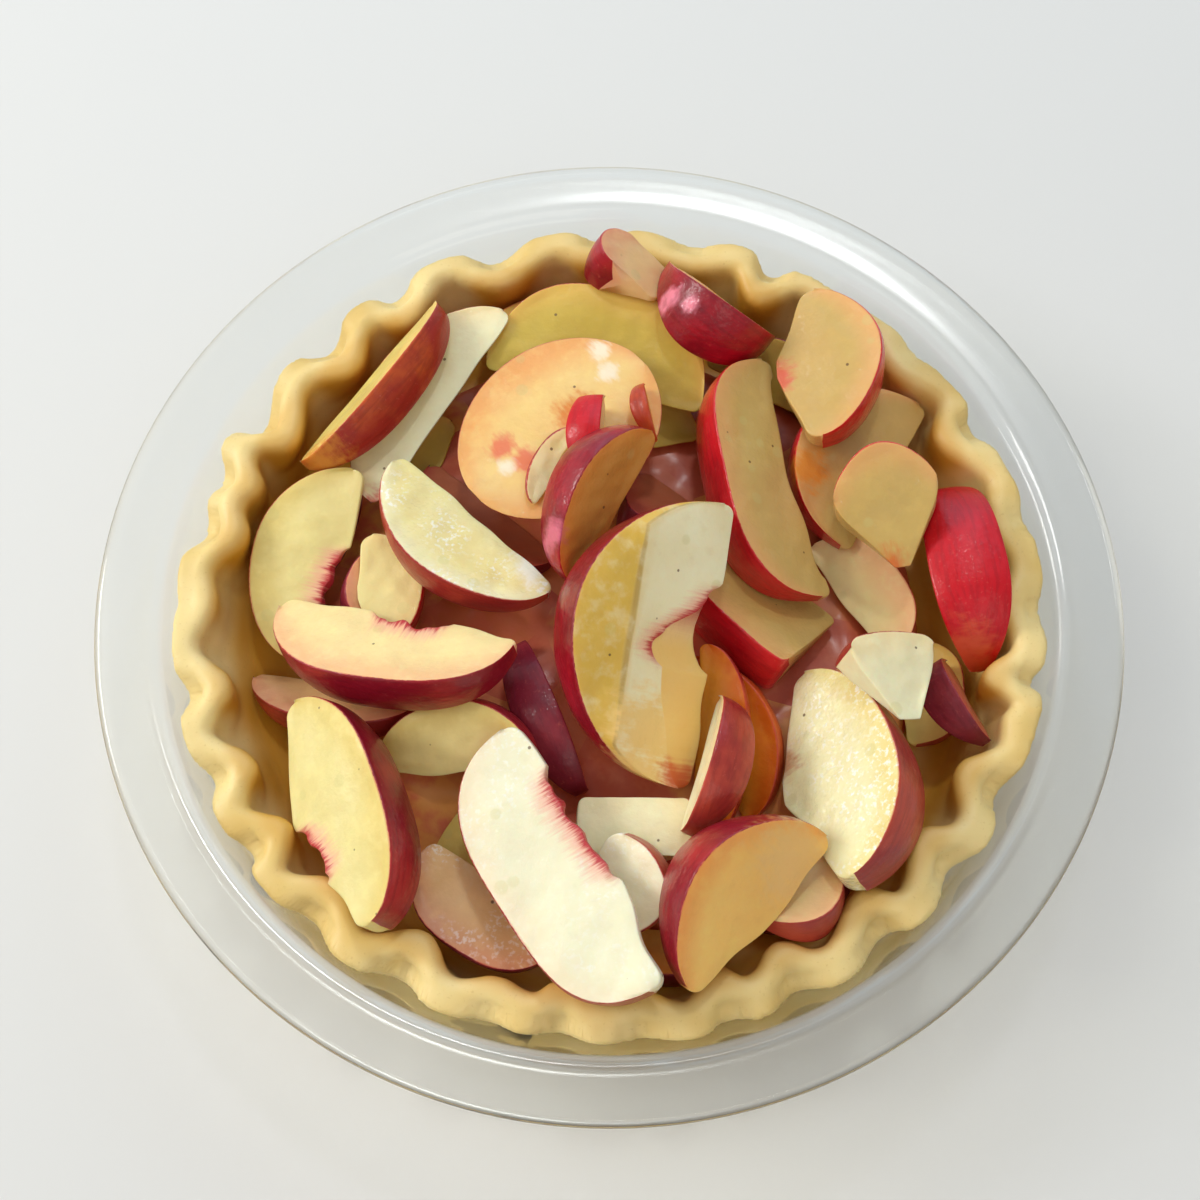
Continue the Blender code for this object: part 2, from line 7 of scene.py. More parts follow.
import random
from collections import namedtuple
from math import acos, cos, inf, pi, radians, sin, sqrt, tan

import bpy
import numpy as np
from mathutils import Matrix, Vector
from numpy.linalg import norm


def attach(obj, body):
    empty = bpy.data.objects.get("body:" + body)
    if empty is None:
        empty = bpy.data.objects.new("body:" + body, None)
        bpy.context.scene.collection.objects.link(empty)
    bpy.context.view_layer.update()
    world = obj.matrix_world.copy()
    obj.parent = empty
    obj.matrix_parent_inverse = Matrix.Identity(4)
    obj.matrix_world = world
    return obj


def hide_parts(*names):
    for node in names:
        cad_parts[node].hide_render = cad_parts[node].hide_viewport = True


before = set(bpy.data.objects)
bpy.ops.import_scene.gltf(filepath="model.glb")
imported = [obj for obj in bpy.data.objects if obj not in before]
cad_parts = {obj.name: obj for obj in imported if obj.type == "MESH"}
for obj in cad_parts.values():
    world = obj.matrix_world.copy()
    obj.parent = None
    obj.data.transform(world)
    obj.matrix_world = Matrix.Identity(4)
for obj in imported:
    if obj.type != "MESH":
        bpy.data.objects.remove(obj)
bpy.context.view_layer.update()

MM = 0.001
BRIGHTEST = 250.0  # no tone of a colour is brighter
SEED = 41  # draws the waviness of the slices, as in the solids
FIRST_SLICE_SEED = 100  # draws the unevenness of the first slice
SLICE_SEED_STEP = 10

# Camera, fitted to the dish's rim, its inner edge and the crust
CAMERA_ELEVATION = 68.14
CAMERA_DISTANCE = 357.96
CAMERA_TARGET = (-2.153, -3.502, 38.0)
CAMERA_FOCAL = 1537.6  # in pixels of the photograph's frame
PHOTO_SIDE = 1200.0
SENSOR = 36.0
CAMERA_CLIP = (10.0, 20000.0)

# Glass dish
DISH_RADIUS = 120.0
DISH_HEIGHT = 38.0
FLANGE_INNER_RADIUS = 106.4
FLANGE_THICKNESS = 4.2
FOOT_RADIUS = 84.0
FOOT_WIDTH = 6.0
FLOOR_THICKNESS = 4.8
WELL_FLOOR_RADIUS = 84.0
WELL_HEEL_RADIUS = 89.0
WELL_HEEL_Z = 8.0
WELL_TOP_RADIUS = 104.9
WELL_TOP_Z = 35.4
DISH_SEGMENTS = 288
NOSE_STEPS = 11  # points round the flange's edge

# Crust: its solid, smoothed and pressed against the glass
CRUST_MESH = 0.9  # size of its quads
LIP_RUN = (33.0, 38.0)  # over these heights the lip gets thinner and its pleats sharper
LIP_THINNING = 1.2
PLEAT_SHARPENING = 0.62
PLEAT_ROUNDS = 60  # rounds of smoothing after which no pleat is left
CRUST_WAVES = ((22.0, 0.12),)  # wavelength and height of its unevenness
CRUST_SEED = 7
PRESS_RUN = (4.5, 7.0)  # heights above which it is pressed against the glass
PRESS_GAP = (6.2, 5.2)  # gap to the glass below which it is
LIP_PRESS_GAP = 2.0  # how much less that gap is near the lip
LIP_PRESS_RUN = (24.0, 32.0)
PRESS_FACING = (0.1, 0.5)  # how far a pressed face looks outward
PRESS_DEPTH = 0.25  # how far it goes into the glass
PRESS_SMOOTHED = 0.3  # points that move further are smoothed again
BASE_RISE = 1.2  # what lies this close over the dish's floor is set into it
BASE_MARGIN = 2.0  # out to this far beyond the floor's flat part
BASE_DEPTH = 0.2
CRUST_MIDDLE_Z = (6, 16, 24, 33)  # middle of its wall, by height
CRUST_MIDDLE_RADIUS = (86, 92, 94, 96)
INSIDE_RUN = (1.0, -3.0)  # distance from that middle over which its inside begins

# Fruit below the slices
CORE_MESH = 1.6
CORE_LUMPS = ((24.0, 0.5),)  # wavelength and height
CORE_BUMPS = ((9.0, 0.25),)
CORE_SEED = 11
CORE_LUMP_RUN = (9.5, 13.0)  # they set in over these heights
CORE_FLATTENING = 0.4  # of the lumps, upwards

# How far a slice's form is refined
LENGTH_STEPS = 96
SKIN_STEPS = 16
FACE_STEPS = 22
CHORD_STEPS = 5
CHEEK_STEPS = 40  # across the middle of a cheek's flat cut
END_CROWDING = 0.75  # how far the sections crowd towards the ends
CORNER = 0.32  # first step away from a cut edge, which rounds it
CORNER_SHARE = 0.12  # the same as a share of the way across, at most
CORNER_GAP = 2.5  # the next step's place, in first steps
CORNER_BEND = (0.15, 0.8)  # how sharply a ring turns where it is rounded
CORNER_EASE = 0.6
TIP_RADIUS = 2.4  # rounding of a tip, seen on the cut face
TIP_SHARE = 0.14  # the same as a share of the face's width, at most
TIP_STEP = 0.05
CUT_RADIUS = 1.6  # rounding of a cut end's corners
NARROWEST = 0.1
SHADE_BLEND = 1.2  # half width of the change to the painted shade beyond a crease
FAR = 99.0  # stands for a distance that doesn't matter
ZONE_REACH = 1.15  # length of the stone's ragged edge, in hollows
ZONE_BLEND = 0.5

# Unevenness of a slice: wavelengths and heights of ripples
WAVE_SQUASH = (1, 0.3, 0.3)  # ripples of the chord side run mostly along it
CHORD_WAVES = ((15.0, 0.3),)
CHORD_FADE = 5.0  # distance from the chord side over which they fade
RAG_WAVES = ((5.0, 0.34), (2.6, 0.18))
RAG_FADE = 1.4
FACE_WAVES = ((17.0, 0.24), (6.0, 0.07))
SKIN_WAVES = ((13.0, 0.12),)
WAVE_RUN = (0.2, 3.0)  # distance from an edge over which the last two set in

# Rules of the slices' solids
SKIN_SHARES = (1.0, 1 / 3, -1 / 3, -1.0)  # corners of the skin, as shares of the half angle
SKIRT_RUN = (0.35, -0.1)  # where along the chord the slant begins and is full
RIDGE_LIMIT = 0.85  # a crease ends this far towards the skin
CHORD_EDGE = 0.8  # least distance of the chord side from the fruit's axis
THINNEST = 0.4  # a slice ends where it would be thinner than this
END_HALVINGS = 24  # times that the stretch with that end in it is halved
CHEEK_CUT = 0.42  # share of a cheek's flat face that keeps its full level
FLATTEST_CHEEK = 0.999  # cosine of a cheek's half angle, at most
FAN_FLAT = 0.05  # share of the chord's length that a fan leaves as it is
OUTLINE_WOBBLE = 0.025
OUTLINE_WAVE = 7.0  # radians of that waviness along the chord

# Fit of a form to its node
LENGTH_RANGE = (4.0, 120.0)
LENGTH_HALVINGS = 34
POSE_NEAR = 0.05  # two corners that match lie closer than this
POSE_MISS = 0.05  # mean distance of corners that is still a fit
LENGTH_SEARCH = (3.0, 0.02)  # stretch and step, where the widest span doesn't tell the length

# Stage. A lamp has a place and a size in metres, watts, a colour and the height it is aimed at.
FLOOR_COLOUR = (222, 221, 217)
FLOOR_HALF_SIDE = 3000.0
ROOM_COLOUR = (0.97, 0.97, 0.96, 1.0)
ROOM_STRENGTH = 0.45
DAYLIGHT = (1.0, 0.985, 0.95)
Lamp = namedtuple("Lamp", "name place size power colour aim", defaults=(0.02,))
LAMPS = (
    Lamp("window", (-1.3, 0.3, 0.85), (0.6, 0.4), 11.0, DAYLIGHT),
    Lamp("room", (-1.4, 0.2, 1.1), (2.6, 1.7), 8.0, DAYLIGHT),
    Lamp("sky", (0.1, 1.6, 1.0), (2.0, 1.2), 11.0, (0.46, 0.71, 1.0)),
    Lamp("fill", (0.5, -1.1, 1.4), (1.0, 1.0), 4.5, (1.0, 0.91, 0.8)),
    Lamp("glint", (0.1, 0.75, 1.45), (0.16, 0.12), 3.6, (0.95, 0.98, 1.0), aim=0.03),
)

# A slice's form: kinds of flesh and skin, width from chord to skin, angle between the cut faces,
# sections of its solid, how far the chord side draws in towards the ends, depth, place and half
# length of the stone's hollow, added slab, part of the chord that is there, squareness of the ends,
# crease on the upper face, slant of the chord side and flat cut of a cheek. The chord's length and
# the start of the outline's waviness are filled in later.
Form = namedtuple(
    "Form",
    "name flesh skin width wedge sections fan stone stone_at span slab keep blunt ridge skirt cheek"
    " length wobble",
    defaults=(0.0, 0.0, 0.0, 0.22, 0.0, (-1.0, 1.0), 2.0, None, 0.0, 0.0, 0.0, 0.0),
)
FORMS = (
    Form("front_low", "amber", "wine", 13, 32, 5),
    Form("front_right_low", "olive", "wine", 12, 32, 5),
    Form("back_low", "olive", "wine", 16, 40, 5),
    Form("left_low", "amber", "wine", 8, 34, 5),
    Form("olive_between", "olive", "wine", 17, 28, 7, fan=0.2),
    Form("mauve_face", "mauve", "wine", 20, 32, 7),
    Form("pink_under_wet", "pink", "wine", 20, 32, 7),
    Form("small_oval", "wan", "red", 17, 30, 7, fan=0.25, blunt=2.3),
    Form("red_edge_left", "pink", "muted", 15, 34, 7),
    Form("pale_low_left", "pale", "wine", 22, 28, 7),
    Form("wet_pink_front", "syrup", "wine", 19, 32, 7, blunt=2.3),
    Form("pale_right_low", "pale", "muted", 16, 28, 7, blunt=2.4),
    Form("wine_right", "mauve", "wine", 16, 34, 7),
    Form("olive_deep", "olive", "muted", 17, 28, 7),
    Form("wine_deep", "mauve", "wine", 20, 34, 7),
    Form("back_pale", "olive", "muted", 17, 28, 7),
    Form("pink_round", "peach", "muted", 17, 32, 7, blunt=2.3),
    Form("orange_crescent", "orange", "brick", 17, 34, 7),
    Form("yellow_under_long", "orange", "brick", 14, 28, 7),
    Form("wine_centre", "mauve", "wine", 15, 46, 7),
    Form("pale_wedge", "yellow", "burgundy", 18, 28, 7),
    Form("bar", "cream", "red", 28, 26, 5, slab=3, keep=(-0.32, 0.3)),
    Form("white_chunk", "white", "muted", 21, 28, 5, fan=0.5),
    Form("skin_and_face", "cream", "muted", 15, 44, 7),
    Form("orange_chunk", "peach", "muted", 18, 32, 5),
    Form("amber_back_right", "tan", "red", 26, 32, 9, blunt=2.3),
    Form("tan_right", "tan", "red", 27, 34, 9, keep=(-0.55, 1.0), blunt=2.6),
    Form("green_back", "olive", "muted", 29, 26, 9, blunt=2.3),
    Form("long_cream", "cream", "muted", 22, 28, 9),
    Form("pink_back", "pink", "crimson", 23, 34, 7, fan=0.3, keep=(-0.62, 0.62)),
    Form("left_crescent", "yellow", "muted", 24, 30, 9, fan=0.08, stone=3.5, stone_at=-0.2,
         span=0.2, blunt=2.3),
    Form("peach_front_left", "peach", "burgundy", 24, 34, 9, fan=0.05, stone=3, stone_at=-0.1,
         span=0.16, blunt=2.3),
    Form("left_front", "yellow", "burgundy", 28, 34, 9, fan=0.36, stone=3.5, stone_at=0.2,
         span=0.12, blunt=2.3),
    Form("white_front", "white", "muted", 28, 28, 9, fan=0.16, stone=3.5, stone_at=0.16, blunt=3),
    Form("white_right", "juicy", "muted", 31, 36, 9, fan=0.38, blunt=2.3),
    Form("yellow_front", "golden", "burgundy", 25, 36, 9, fan=0.1),
    Form("white_wedge_right", "cream", "muted", 22, 26, 7, fan=1.7),
    Form("red_skin_right", "tan", "scarlet", 23, 48, 9, blunt=2.3),
    Form("fan_right", "tan", "red", 30, 34, 7, fan=1.4),
    Form("red_skin_back", "amber", "crimson", 24, 40, 7),
    Form("back_left_wedge", "pale", "brick", 17, 42, 9),
    Form("disc", "disc", "burgundy", 30, 90, 9, blunt=2.2, cheek=21),
    Form("wet_white", "wet", "muted", 21, 32, 9),
    Form("red_left_arc", "tan", "red", 25, 34, 9, stone=3, span=0.42, blunt=2.6),
    Form("fan_back_right", "tan", "red", 27, 32, 7, fan=0.4),
    Form("pale_strip", "cream", "muted", 7, 30, 5),
    Form("red_tab", "peach", "scarlet", 14, 36, 5, keep=(-0.75, 0.75)),
    Form("orange_sliver", "orange", "brick", 9, 30, 5),
    Form("crimson_arc", "amber", "crimson", 19, 36, 9),
    Form("long_top", "creased", "crimson", 37, 32, 9, stone=4, stone_at=0.12, span=0.15, blunt=2.2,
         ridge=(22, 2.6), skirt=12),
)


# ---- helpers

def rgb(colour):
    """A display colour, 0 to 255, as the linear colour that shaders take."""
    def linear(value):
        value /= 255.0
        return value / 12.92 if value <= 0.04045 else ((value + 0.055) / 1.055) ** 2.4
    return (*map(linear, colour), 1.0)


def smooth_step(low, high, value):
    """Ease from 0 at low to 1 at high, on arrays too."""
    t = np.clip((value - low) / (high - low), 0.0, 1.0)
    return t * t * (3 - 2 * t)


def toned(colour, factor):
    """The same colour, darker or paler."""
    return rgb(min(BRIGHTEST, factor * part) for part in colour)


def ripple(points, wavelength, seed, waves=14):
    """A smooth random field of about unit size, with the given wavelength in millimetres."""
    draw = np.random.default_rng(seed)
    directions = draw.normal(size=(waves, 3))
    directions /= norm(directions, axis=1)[:, None]
    lengths = wavelength * draw.uniform(0.7, 1.5, waves)
    phases = draw.uniform(0, 2 * pi, waves)
    angle = points @ (directions / lengths[:, None]).T * 2 * pi + phases
    return np.sin(angle).sum(axis=1) * sqrt(2.0 / waves)


def ripples(points, kinds, seed):
    """Ripples of several wavelengths and heights together."""
    return sum(ripple(points, long, seed + k) * high for k, (long, high) in enumerate(kinds))


def put(name, data):
    """An object in the scene, for a mesh, a lamp or a camera."""
    item = bpy.data.objects.new(name, data)
    bpy.context.scene.collection.objects.link(item)
    return item


def add_object(name, points, faces, material):
    """A smooth-shaded mesh object from points in millimetres."""
    mesh = bpy.data.meshes.new(name)
    mesh.from_pydata([tuple(p) for p in np.asarray(points) * MM], [], faces)
    mesh.shade_smooth()
    mesh.materials.append(material)
    return put(name, mesh)


def points_of(mesh):
    """The points of a mesh, in millimetres."""
    points = np.empty(len(mesh.vertices) * 3)
    mesh.vertices.foreach_get("co", points)
    return points.reshape(-1, 3) / MM


def quads_of(faces):
    """Faces as an array, with a triangle's last corner given twice."""
    return np.array([face if len(face) == 4 else (*face, face[2]) for face in faces])


def add_values(item, name, values):
    """Store one number a vertex on the mesh."""
    layer = item.data.attributes.new(name, "FLOAT", "POINT")
    layer.data.foreach_set("value", np.asarray(values, np.float32))


def stand_for(item, node):
    """The piece takes the place of a node of the solid model."""
    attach(item, "root")
    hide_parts(node)


def grid_faces(rows, columns):
    """Quads between closed rows of points."""
    faces = []
    for first in range(0, (rows - 1) * columns, columns):
        for i in range(columns):
            here, there = first + i, first + (i + 1) % columns
            faces.append((here, there, there + columns, here + columns))
    return faces


def cap_faces(first, count, tip, flip):
    """Triangles between a ring of points and the point in its middle."""
    fan = [(first + i, first + (i + 1) % count, tip) for i in range(count)]
    return [(b, a, c) for a, b, c in fan] if flip else fan


# ---- shader helpers

NOISE_ROUGHNESS = 0.55


class Graph:
    """Short names for building one material's nodes."""

    def __init__(self, name):
        self.material = bpy.data.materials.new(name)
        self.material.use_nodes = True
        self.tree = self.material.node_tree
        self.shader = self.tree.nodes["Principled BSDF"]

    def feed(self, socket, value):
        """Link a socket to another one, or set it."""
        if isinstance(value, bpy.types.NodeSocket):
            self.tree.links.new(value, socket)
        else:
            socket.default_value = value

    def use(self, kind, output, inputs=None, **settings):
        """Add a node, feed its inputs and give one of its outputs."""
        made = self.tree.nodes.new("ShaderNode" + kind)
        for key, value in settings.items():
            setattr(made, key, value)
        for key, value in (inputs or {}).items():
            self.feed(made.inputs[key], value)
        return made.outputs[output]

    def value(self, attribute):
        """A number stored on the mesh."""
        return self.use("Attribute", "Fac", attribute_name=attribute)

    def position(self):
        return self.use("TexCoord", "Object")

    def noise(self, scale, detail=3.0, vector=None):
        """Noise with a number of waves a metre, unless the vector has another unit."""
        inputs = {"Vector": vector or self.position(), "Scale": scale, "Detail": detail}
        return self.use("TexNoise", "Fac", {**inputs, "Roughness": NOISE_ROUGHNESS})

    def cells(self, scale, channel=0):
        """Distance from the middle of a cell, and a random number that the cell has."""
        distance = self.use("TexVoronoi", "Distance", {"Vector": self.position(), "Scale": scale})
        return distance, self.use("SeparateColor", channel, {0: distance.node.outputs["Color"]})

    def ramp(self, value, low, high, start=0.0, end=1.0):
        """Map low..high to start..end with an ease."""
        inputs = {"Value": value, "From Min": low, "From Max": high, "To Min": start, "To Max": end}
        return self.use("MapRange", "Result", inputs, interpolation_type="SMOOTHSTEP")

    def plus(self, first, second):
        return self.use("Math", 0, {0: first, 1: second}, operation="ADD")

    def minus(self, first, second):
        return self.use("Math", 0, {0: first, 1: second}, operation="SUBTRACT")

    def times(self, first, second):
        return self.use("Math", 0, {0: first, 1: second}, operation="MULTIPLY")

    def mix(self, factor, first, second):
        """Mix two colours."""
        return self.use("Mix", 2, {0: factor, 6: first, 7: second}, data_type="RGBA")

    def bump(self, height, depth, strength):
        """Relief with the given depth in millimetres."""
        inputs = {"Strength": strength, "Distance": depth * MM, "Height": height}
        return self.use("Bump", "Normal", inputs)

    def set(self, **inputs):
        """Set or link inputs of the shader, with _ for a blank."""
        for key, value in inputs.items():
            self.feed(self.shader.inputs[key.replace("_", " ")], value)


# ---- peach material

# Flesh of one kind of slice: its colour in the middle, near the skin and on the stone's side, how
# far the second reaches in from the skin in millimetres, and how wet it is.
Flesh = namedtuple("Flesh", "middle rim side reach wet", defaults=((240, 198, 116), 7.0, 0.25))
FLESHES = {
    "cream": Flesh((240, 231, 188), (240, 220, 168)),
    "white": Flesh((244, 238, 202), (246, 230, 194), wet=0.6),
    "wet": Flesh((240, 222, 148), (244, 235, 186), reach=5.0, wet=1.0),
    "juicy": Flesh((244, 235, 182), (238, 218, 142), wet=1.0),
    "yellow": Flesh((230, 214, 144), (226, 202, 120)),
    "olive": Flesh((202, 174, 74), (226, 186, 92)),
    "wan": Flesh((232, 214, 146), (236, 206, 138)),
    "pale": Flesh((224, 200, 112), (230, 192, 104)),
    "peach": Flesh((248, 221, 156), (246, 194, 140)),
    "disc": Flesh((242, 206, 130), (240, 170, 98), reach=9.0, wet=0.5),
    "tan": Flesh((204, 172, 98), (226, 172, 106), wet=0.5),
    "amber": Flesh((212, 156, 74), (226, 150, 66), wet=0.5),
    "pink": Flesh((238, 196, 136), (232, 164, 124)),
    "syrup": Flesh((232, 190, 130), (216, 150, 110), wet=0.6),
    "mauve": Flesh((190, 108, 72), (184, 84, 68), wet=0.1),
    "orange": Flesh((214, 142, 40), (210, 100, 16), wet=0.5),
    "golden": Flesh((248, 198, 108), (242, 168, 84), wet=0.4),
    # beyond its crease the olive rim is partly the flesh's own tone, partly painted shade of that face
    "creased": Flesh((248, 239, 198), (222, 182, 78), reach=0.0, wet=0.5),
}
# Skin of one kind: its colour, that of its blotches and how glossy it is.
Skin = namedtuple("Skin", "colour blotch gloss", defaults=(0.5,))
SKINS = {
    "red": Skin((204, 16, 34), (224, 44, 48), 0.8),
    "scarlet": Skin((198, 4, 24), (206, 14, 34), 0.3),
    "crimson": Skin((134, 4, 28), (178, 14, 36), 0.6),
    "burgundy": Skin((144, 20, 38), (182, 44, 46)),
    "brick": Skin((170, 46, 34), (210, 96, 38), 0.35),
    "muted": Skin((160, 44, 42), (190, 72, 52), 0.35),
    "wine": Skin((124, 30, 48), (148, 46, 56), 0.25),
}
PAINTED_GLINTS_FROM = 0.5  # a flesh wetter than this gets painted glints: fine white specks
PAINTED_GLINT_WHITE = (255, 255, 250)
# painted shade along a crease
CREASE_SHADE = (150, 112, 44)
SKIN_DOTS = (226, 116, 100)
# Tints where the stone was: colour, reach from the stone's side in millimetres, and strength
STONE_TINTS = (((240, 168, 146), (0.5, 6.5), 0.85), ((192, 58, 62), (0.0, 2.4), 1.0))
STREAK_LENGTH = 7.0  # how far streaks of them reach into the flesh
EDGE_RED = (192, 52, 62)
EDGE_LINE_WIDTH = (0.35, 0.8)
SKIN_EDGE = (0.05, 0.22)  # distance from the skin's edge over which the skin ends
SKIN_EDGE_RAG = (-0.12, 0.18)
FLESH_DEPTH = 0.25  # relief of the flesh
FILM_DEPTH = 1.1  # and of the film of juice
# Small round marks in some of the cells of a pattern: cells a metre, which of a cell's numbers
# chooses it and from where on, radius in parts of a cell, strength and colour
Marks = namedtuple("Marks", "scale channel chosen radius strength colour")
DAMP_MARKS = Marks(130.0, 1, (0.6, 0.64), (0.17, 0.24), 0.28, (206, 198, 128))
BROWN_SPECKS = Marks(170.0, 0, (0.52, 0.54), (0.05, 0.08), 0.8, (96, 66, 40))
SMOOTH_STONES = ("red_left_arc",)  # slices whose hollow has no ragged edge
# Patches of another colour on a slice: their colour, then x, y and radius of each in millimetres.
# The pale pink ones on red_skin_back and crimson_arc are painted highlights on the wet skin.
STAINS_AND_HIGHLIGHTS = {
    "disc": (((222, 126, 40), ((-8.2, 45.5, 10.0),)),
             ((232, 120, 84), ((-26.3, 37.3, 6.0), (-20.0, 33.5, 6.0))),
             ((250, 236, 208), ((-2.2, 63.0, 5.0), (-0.2, 56.7, 5.0), (-25.0, 31.9, 4.0)))),
    "long_cream": (((206, 66, 70), ((-56.9, 25.1, 9.0),)),),
    "fan_back_right": (((218, 92, 70), ((41.5, 56.8, 8.0),)),),
    "fan_right": (((214, 110, 44), ((66.4, 5.4, 7.0),)),),
    "amber_back_right": (((224, 140, 34), ((49.1, 34.3, 9.0),)),),
    "back_left_wedge": (((214, 140, 52), ((-70.4, 32.3, 13.0),)),),
    "red_skin_right": (((214, 84, 50), ((83.4, -15.1, 12.0),)),),
    "long_top": (((242, 204, 124), ((9.0, -36.0, 15.0), (6.0, -45.0, 12.0))),
                 ((214, 92, 48), ((1.5, -50.1, 6.0), (15.8, -43.8, 7.0)))),
    "wet_white": (((250, 246, 226), ((-18.0, 6.0, 9.0),)),),
    "white_right": (((206, 152, 110), ((40.6, -39.8, 6.0),)),),
    "yellow_front": (((236, 190, 118), ((39.4, -66.3, 15.0),)),),
    # painted highlights: pale pink glints on the wet skins of the next two
    "red_skin_back": (((244, 140, 160), ((15.0, 74.0, 4.6), (20.0, 70.0, 3.4))),),
    "crimson_arc": (((222, 110, 136), ((-13.0, 8.5, 5.0),)),),
}


def fibres(graph, across, along):
    """Noise drawn out from the stone towards the skin, with its sizes in parts a millimetre."""
    x, y = graph.times(graph.value("along"), across), graph.times(graph.value("edge"), along)
    return graph.noise(1.0, 4.0, graph.use("CombineXYZ", 0, {0: x, 1: y}))


def marked(graph, colour, marks):
    """Add small round marks of another colour."""
    distance, number = graph.cells(marks.scale, marks.channel)
    spot = graph.ramp(distance, *marks.radius, marks.strength, 0.0)
    return graph.mix(graph.times(spot, graph.ramp(number, *marks.chosen)), colour, rgb(marks.colour))


def rim_share(graph, flesh, broad):
    """How near the skin the flesh is, or how far beyond the crease."""
    if not flesh.reach:
        return graph.value("shade")
    drift = graph.minus(graph.value("edge"), graph.times(broad, flesh.reach))
    return graph.ramp(drift, -0.5 * flesh.reach, 0.9 * flesh.reach, 1.0, 0.0)


def flesh_colour(graph, flesh, broad):
    """Flesh colour: middle, rim, painted crease shade, mottling, painted glints and damp marks."""
    mottle = graph.noise(260.0, 4.0)
    share = rim_share(graph, flesh, broad)
    colour = graph.mix(share, rgb(flesh.middle), rgb(flesh.rim))
    if not flesh.reach:
        # painted shade: a darker line along the crease on its olive side, where the faces step
        painted_crease_shadow = graph.times(graph.ramp(share, 0.3, 0.7), graph.ramp(share, 1.0, 0.8))
        colour = graph.mix(graph.times(painted_crease_shadow, 0.55), colour, rgb(CREASE_SHADE))
    colour = graph.mix(graph.ramp(mottle, 0.45, 0.75, 0.0, 0.3), colour, toned(flesh.middle, 1.1))
    # painted highlights: fine white glints of the wet film, in patches
    if flesh.wet > PAINTED_GLINTS_FROM:
        painted_glints = graph.ramp(graph.noise(900.0, 5.0), 0.5, 0.66, 0.0, 0.75 * flesh.wet)
        glint_patches = graph.ramp(graph.noise(55.0, 2.0), 0.4, 0.6)
        colour = graph.mix(graph.times(painted_glints, glint_patches), colour, rgb(PAINTED_GLINT_WHITE))
    colour = graph.mix(graph.ramp(mottle, 0.45, 0.25, 0.0, 0.12), colour, toned(flesh.rim, 0.85))
    colour = marked(graph, colour, DAMP_MARKS)
    return graph.mix(graph.ramp(broad, 0.55, 0.3, 0.0, 0.25), colour, toned(flesh.rim, 0.93))


def stone_tint(graph, colour):
    """Blush and red where the stone was, in streaks."""
    streak = graph.times(graph.plus(fibres(graph, 1.6, 0.14), -0.5), STREAK_LENGTH)
    stone = graph.minus(graph.value("stone"), streak)
    for tint, reach, strength in STONE_TINTS:
        share = graph.times(graph.value("zone"), graph.ramp(stone, *reach, strength, 0.0))
        colour = graph.mix(share, colour, rgb(tint))
    return colour


def edge_line(graph, colour, broad):
    """Thin red line along the skin."""
    width = graph.ramp(broad, 0.3, 0.7, *EDGE_LINE_WIDTH)
    line = graph.minus(1.0, graph.ramp(graph.value("edge"), 0.1, width))
    return graph.mix(graph.times(line, 0.7), colour, rgb(EDGE_RED))


def cut_colour(graph, flesh):
    """Colour of the cut faces."""
    broad = graph.noise(30.0, 2.0)
    colour = flesh_colour(graph, flesh, broad)
    colour = graph.mix(graph.value("side"), colour, rgb(flesh.side))
    colour = edge_line(graph, stone_tint(graph, colour), broad)
    return marked(graph, colour, BROWN_SPECKS)


def skin_colour(graph, skin):
    """Red skin with blotches, streaks and fine pale dots."""
    blotch = graph.ramp(graph.noise(48.0, 4.0), 0.42, 0.66)
    colour = graph.mix(blotch, rgb(skin.colour), rgb(skin.blotch))
    dark = graph.ramp(fibres(graph, 0.14, 0.9), 0.36, 0.56, 0.25, 0.0)
    colour = graph.mix(dark, colour, toned(skin.colour, 0.62))
    pale = graph.ramp(graph.noise(1000.0, 2.0), 0.62, 0.76, 0.0, 0.18)
    return graph.mix(pale, colour, rgb(SKIN_DOTS))


def add_stain_or_highlight(graph, colour, number, patch_colour):
    """Add a patch with an uneven edge: a stain of the flesh, or a painted highlight on a skin."""
    uneven = graph.plus(graph.noise(230.0, 5.0), fibres(graph, 0.8, 0.25))
    shape = graph.plus(graph.value("stain_or_highlight_" + str(number)), graph.times(uneven, 0.8))
    return graph.mix(graph.ramp(shape, 1.0, 1.6, 0.0, 0.9), colour, rgb(patch_colour))


def set_film(graph, is_skin, flesh, skin):
    """The film of juice: an uneven clear coat, deeper in some places."""
    waves = graph.plus(graph.noise(330.0, 2.0), graph.times(graph.noise(1100.0, 2.0), 0.4))
    puddle = graph.ramp(graph.noise(75.0, 2.0), 0.35, 0.6, 0.35 * flesh.wet, flesh.wet)
    graph.set(Coat_Normal=graph.bump(waves, FILM_DEPTH, graph.ramp(is_skin, 0.0, 1.0, 1.0, 0.45)))
    graph.set(Coat_Weight=graph.ramp(is_skin, 0.0, 1.0, puddle, skin.gloss))
    graph.set(Coat_Roughness=0.06, Coat_IOR=1.45)


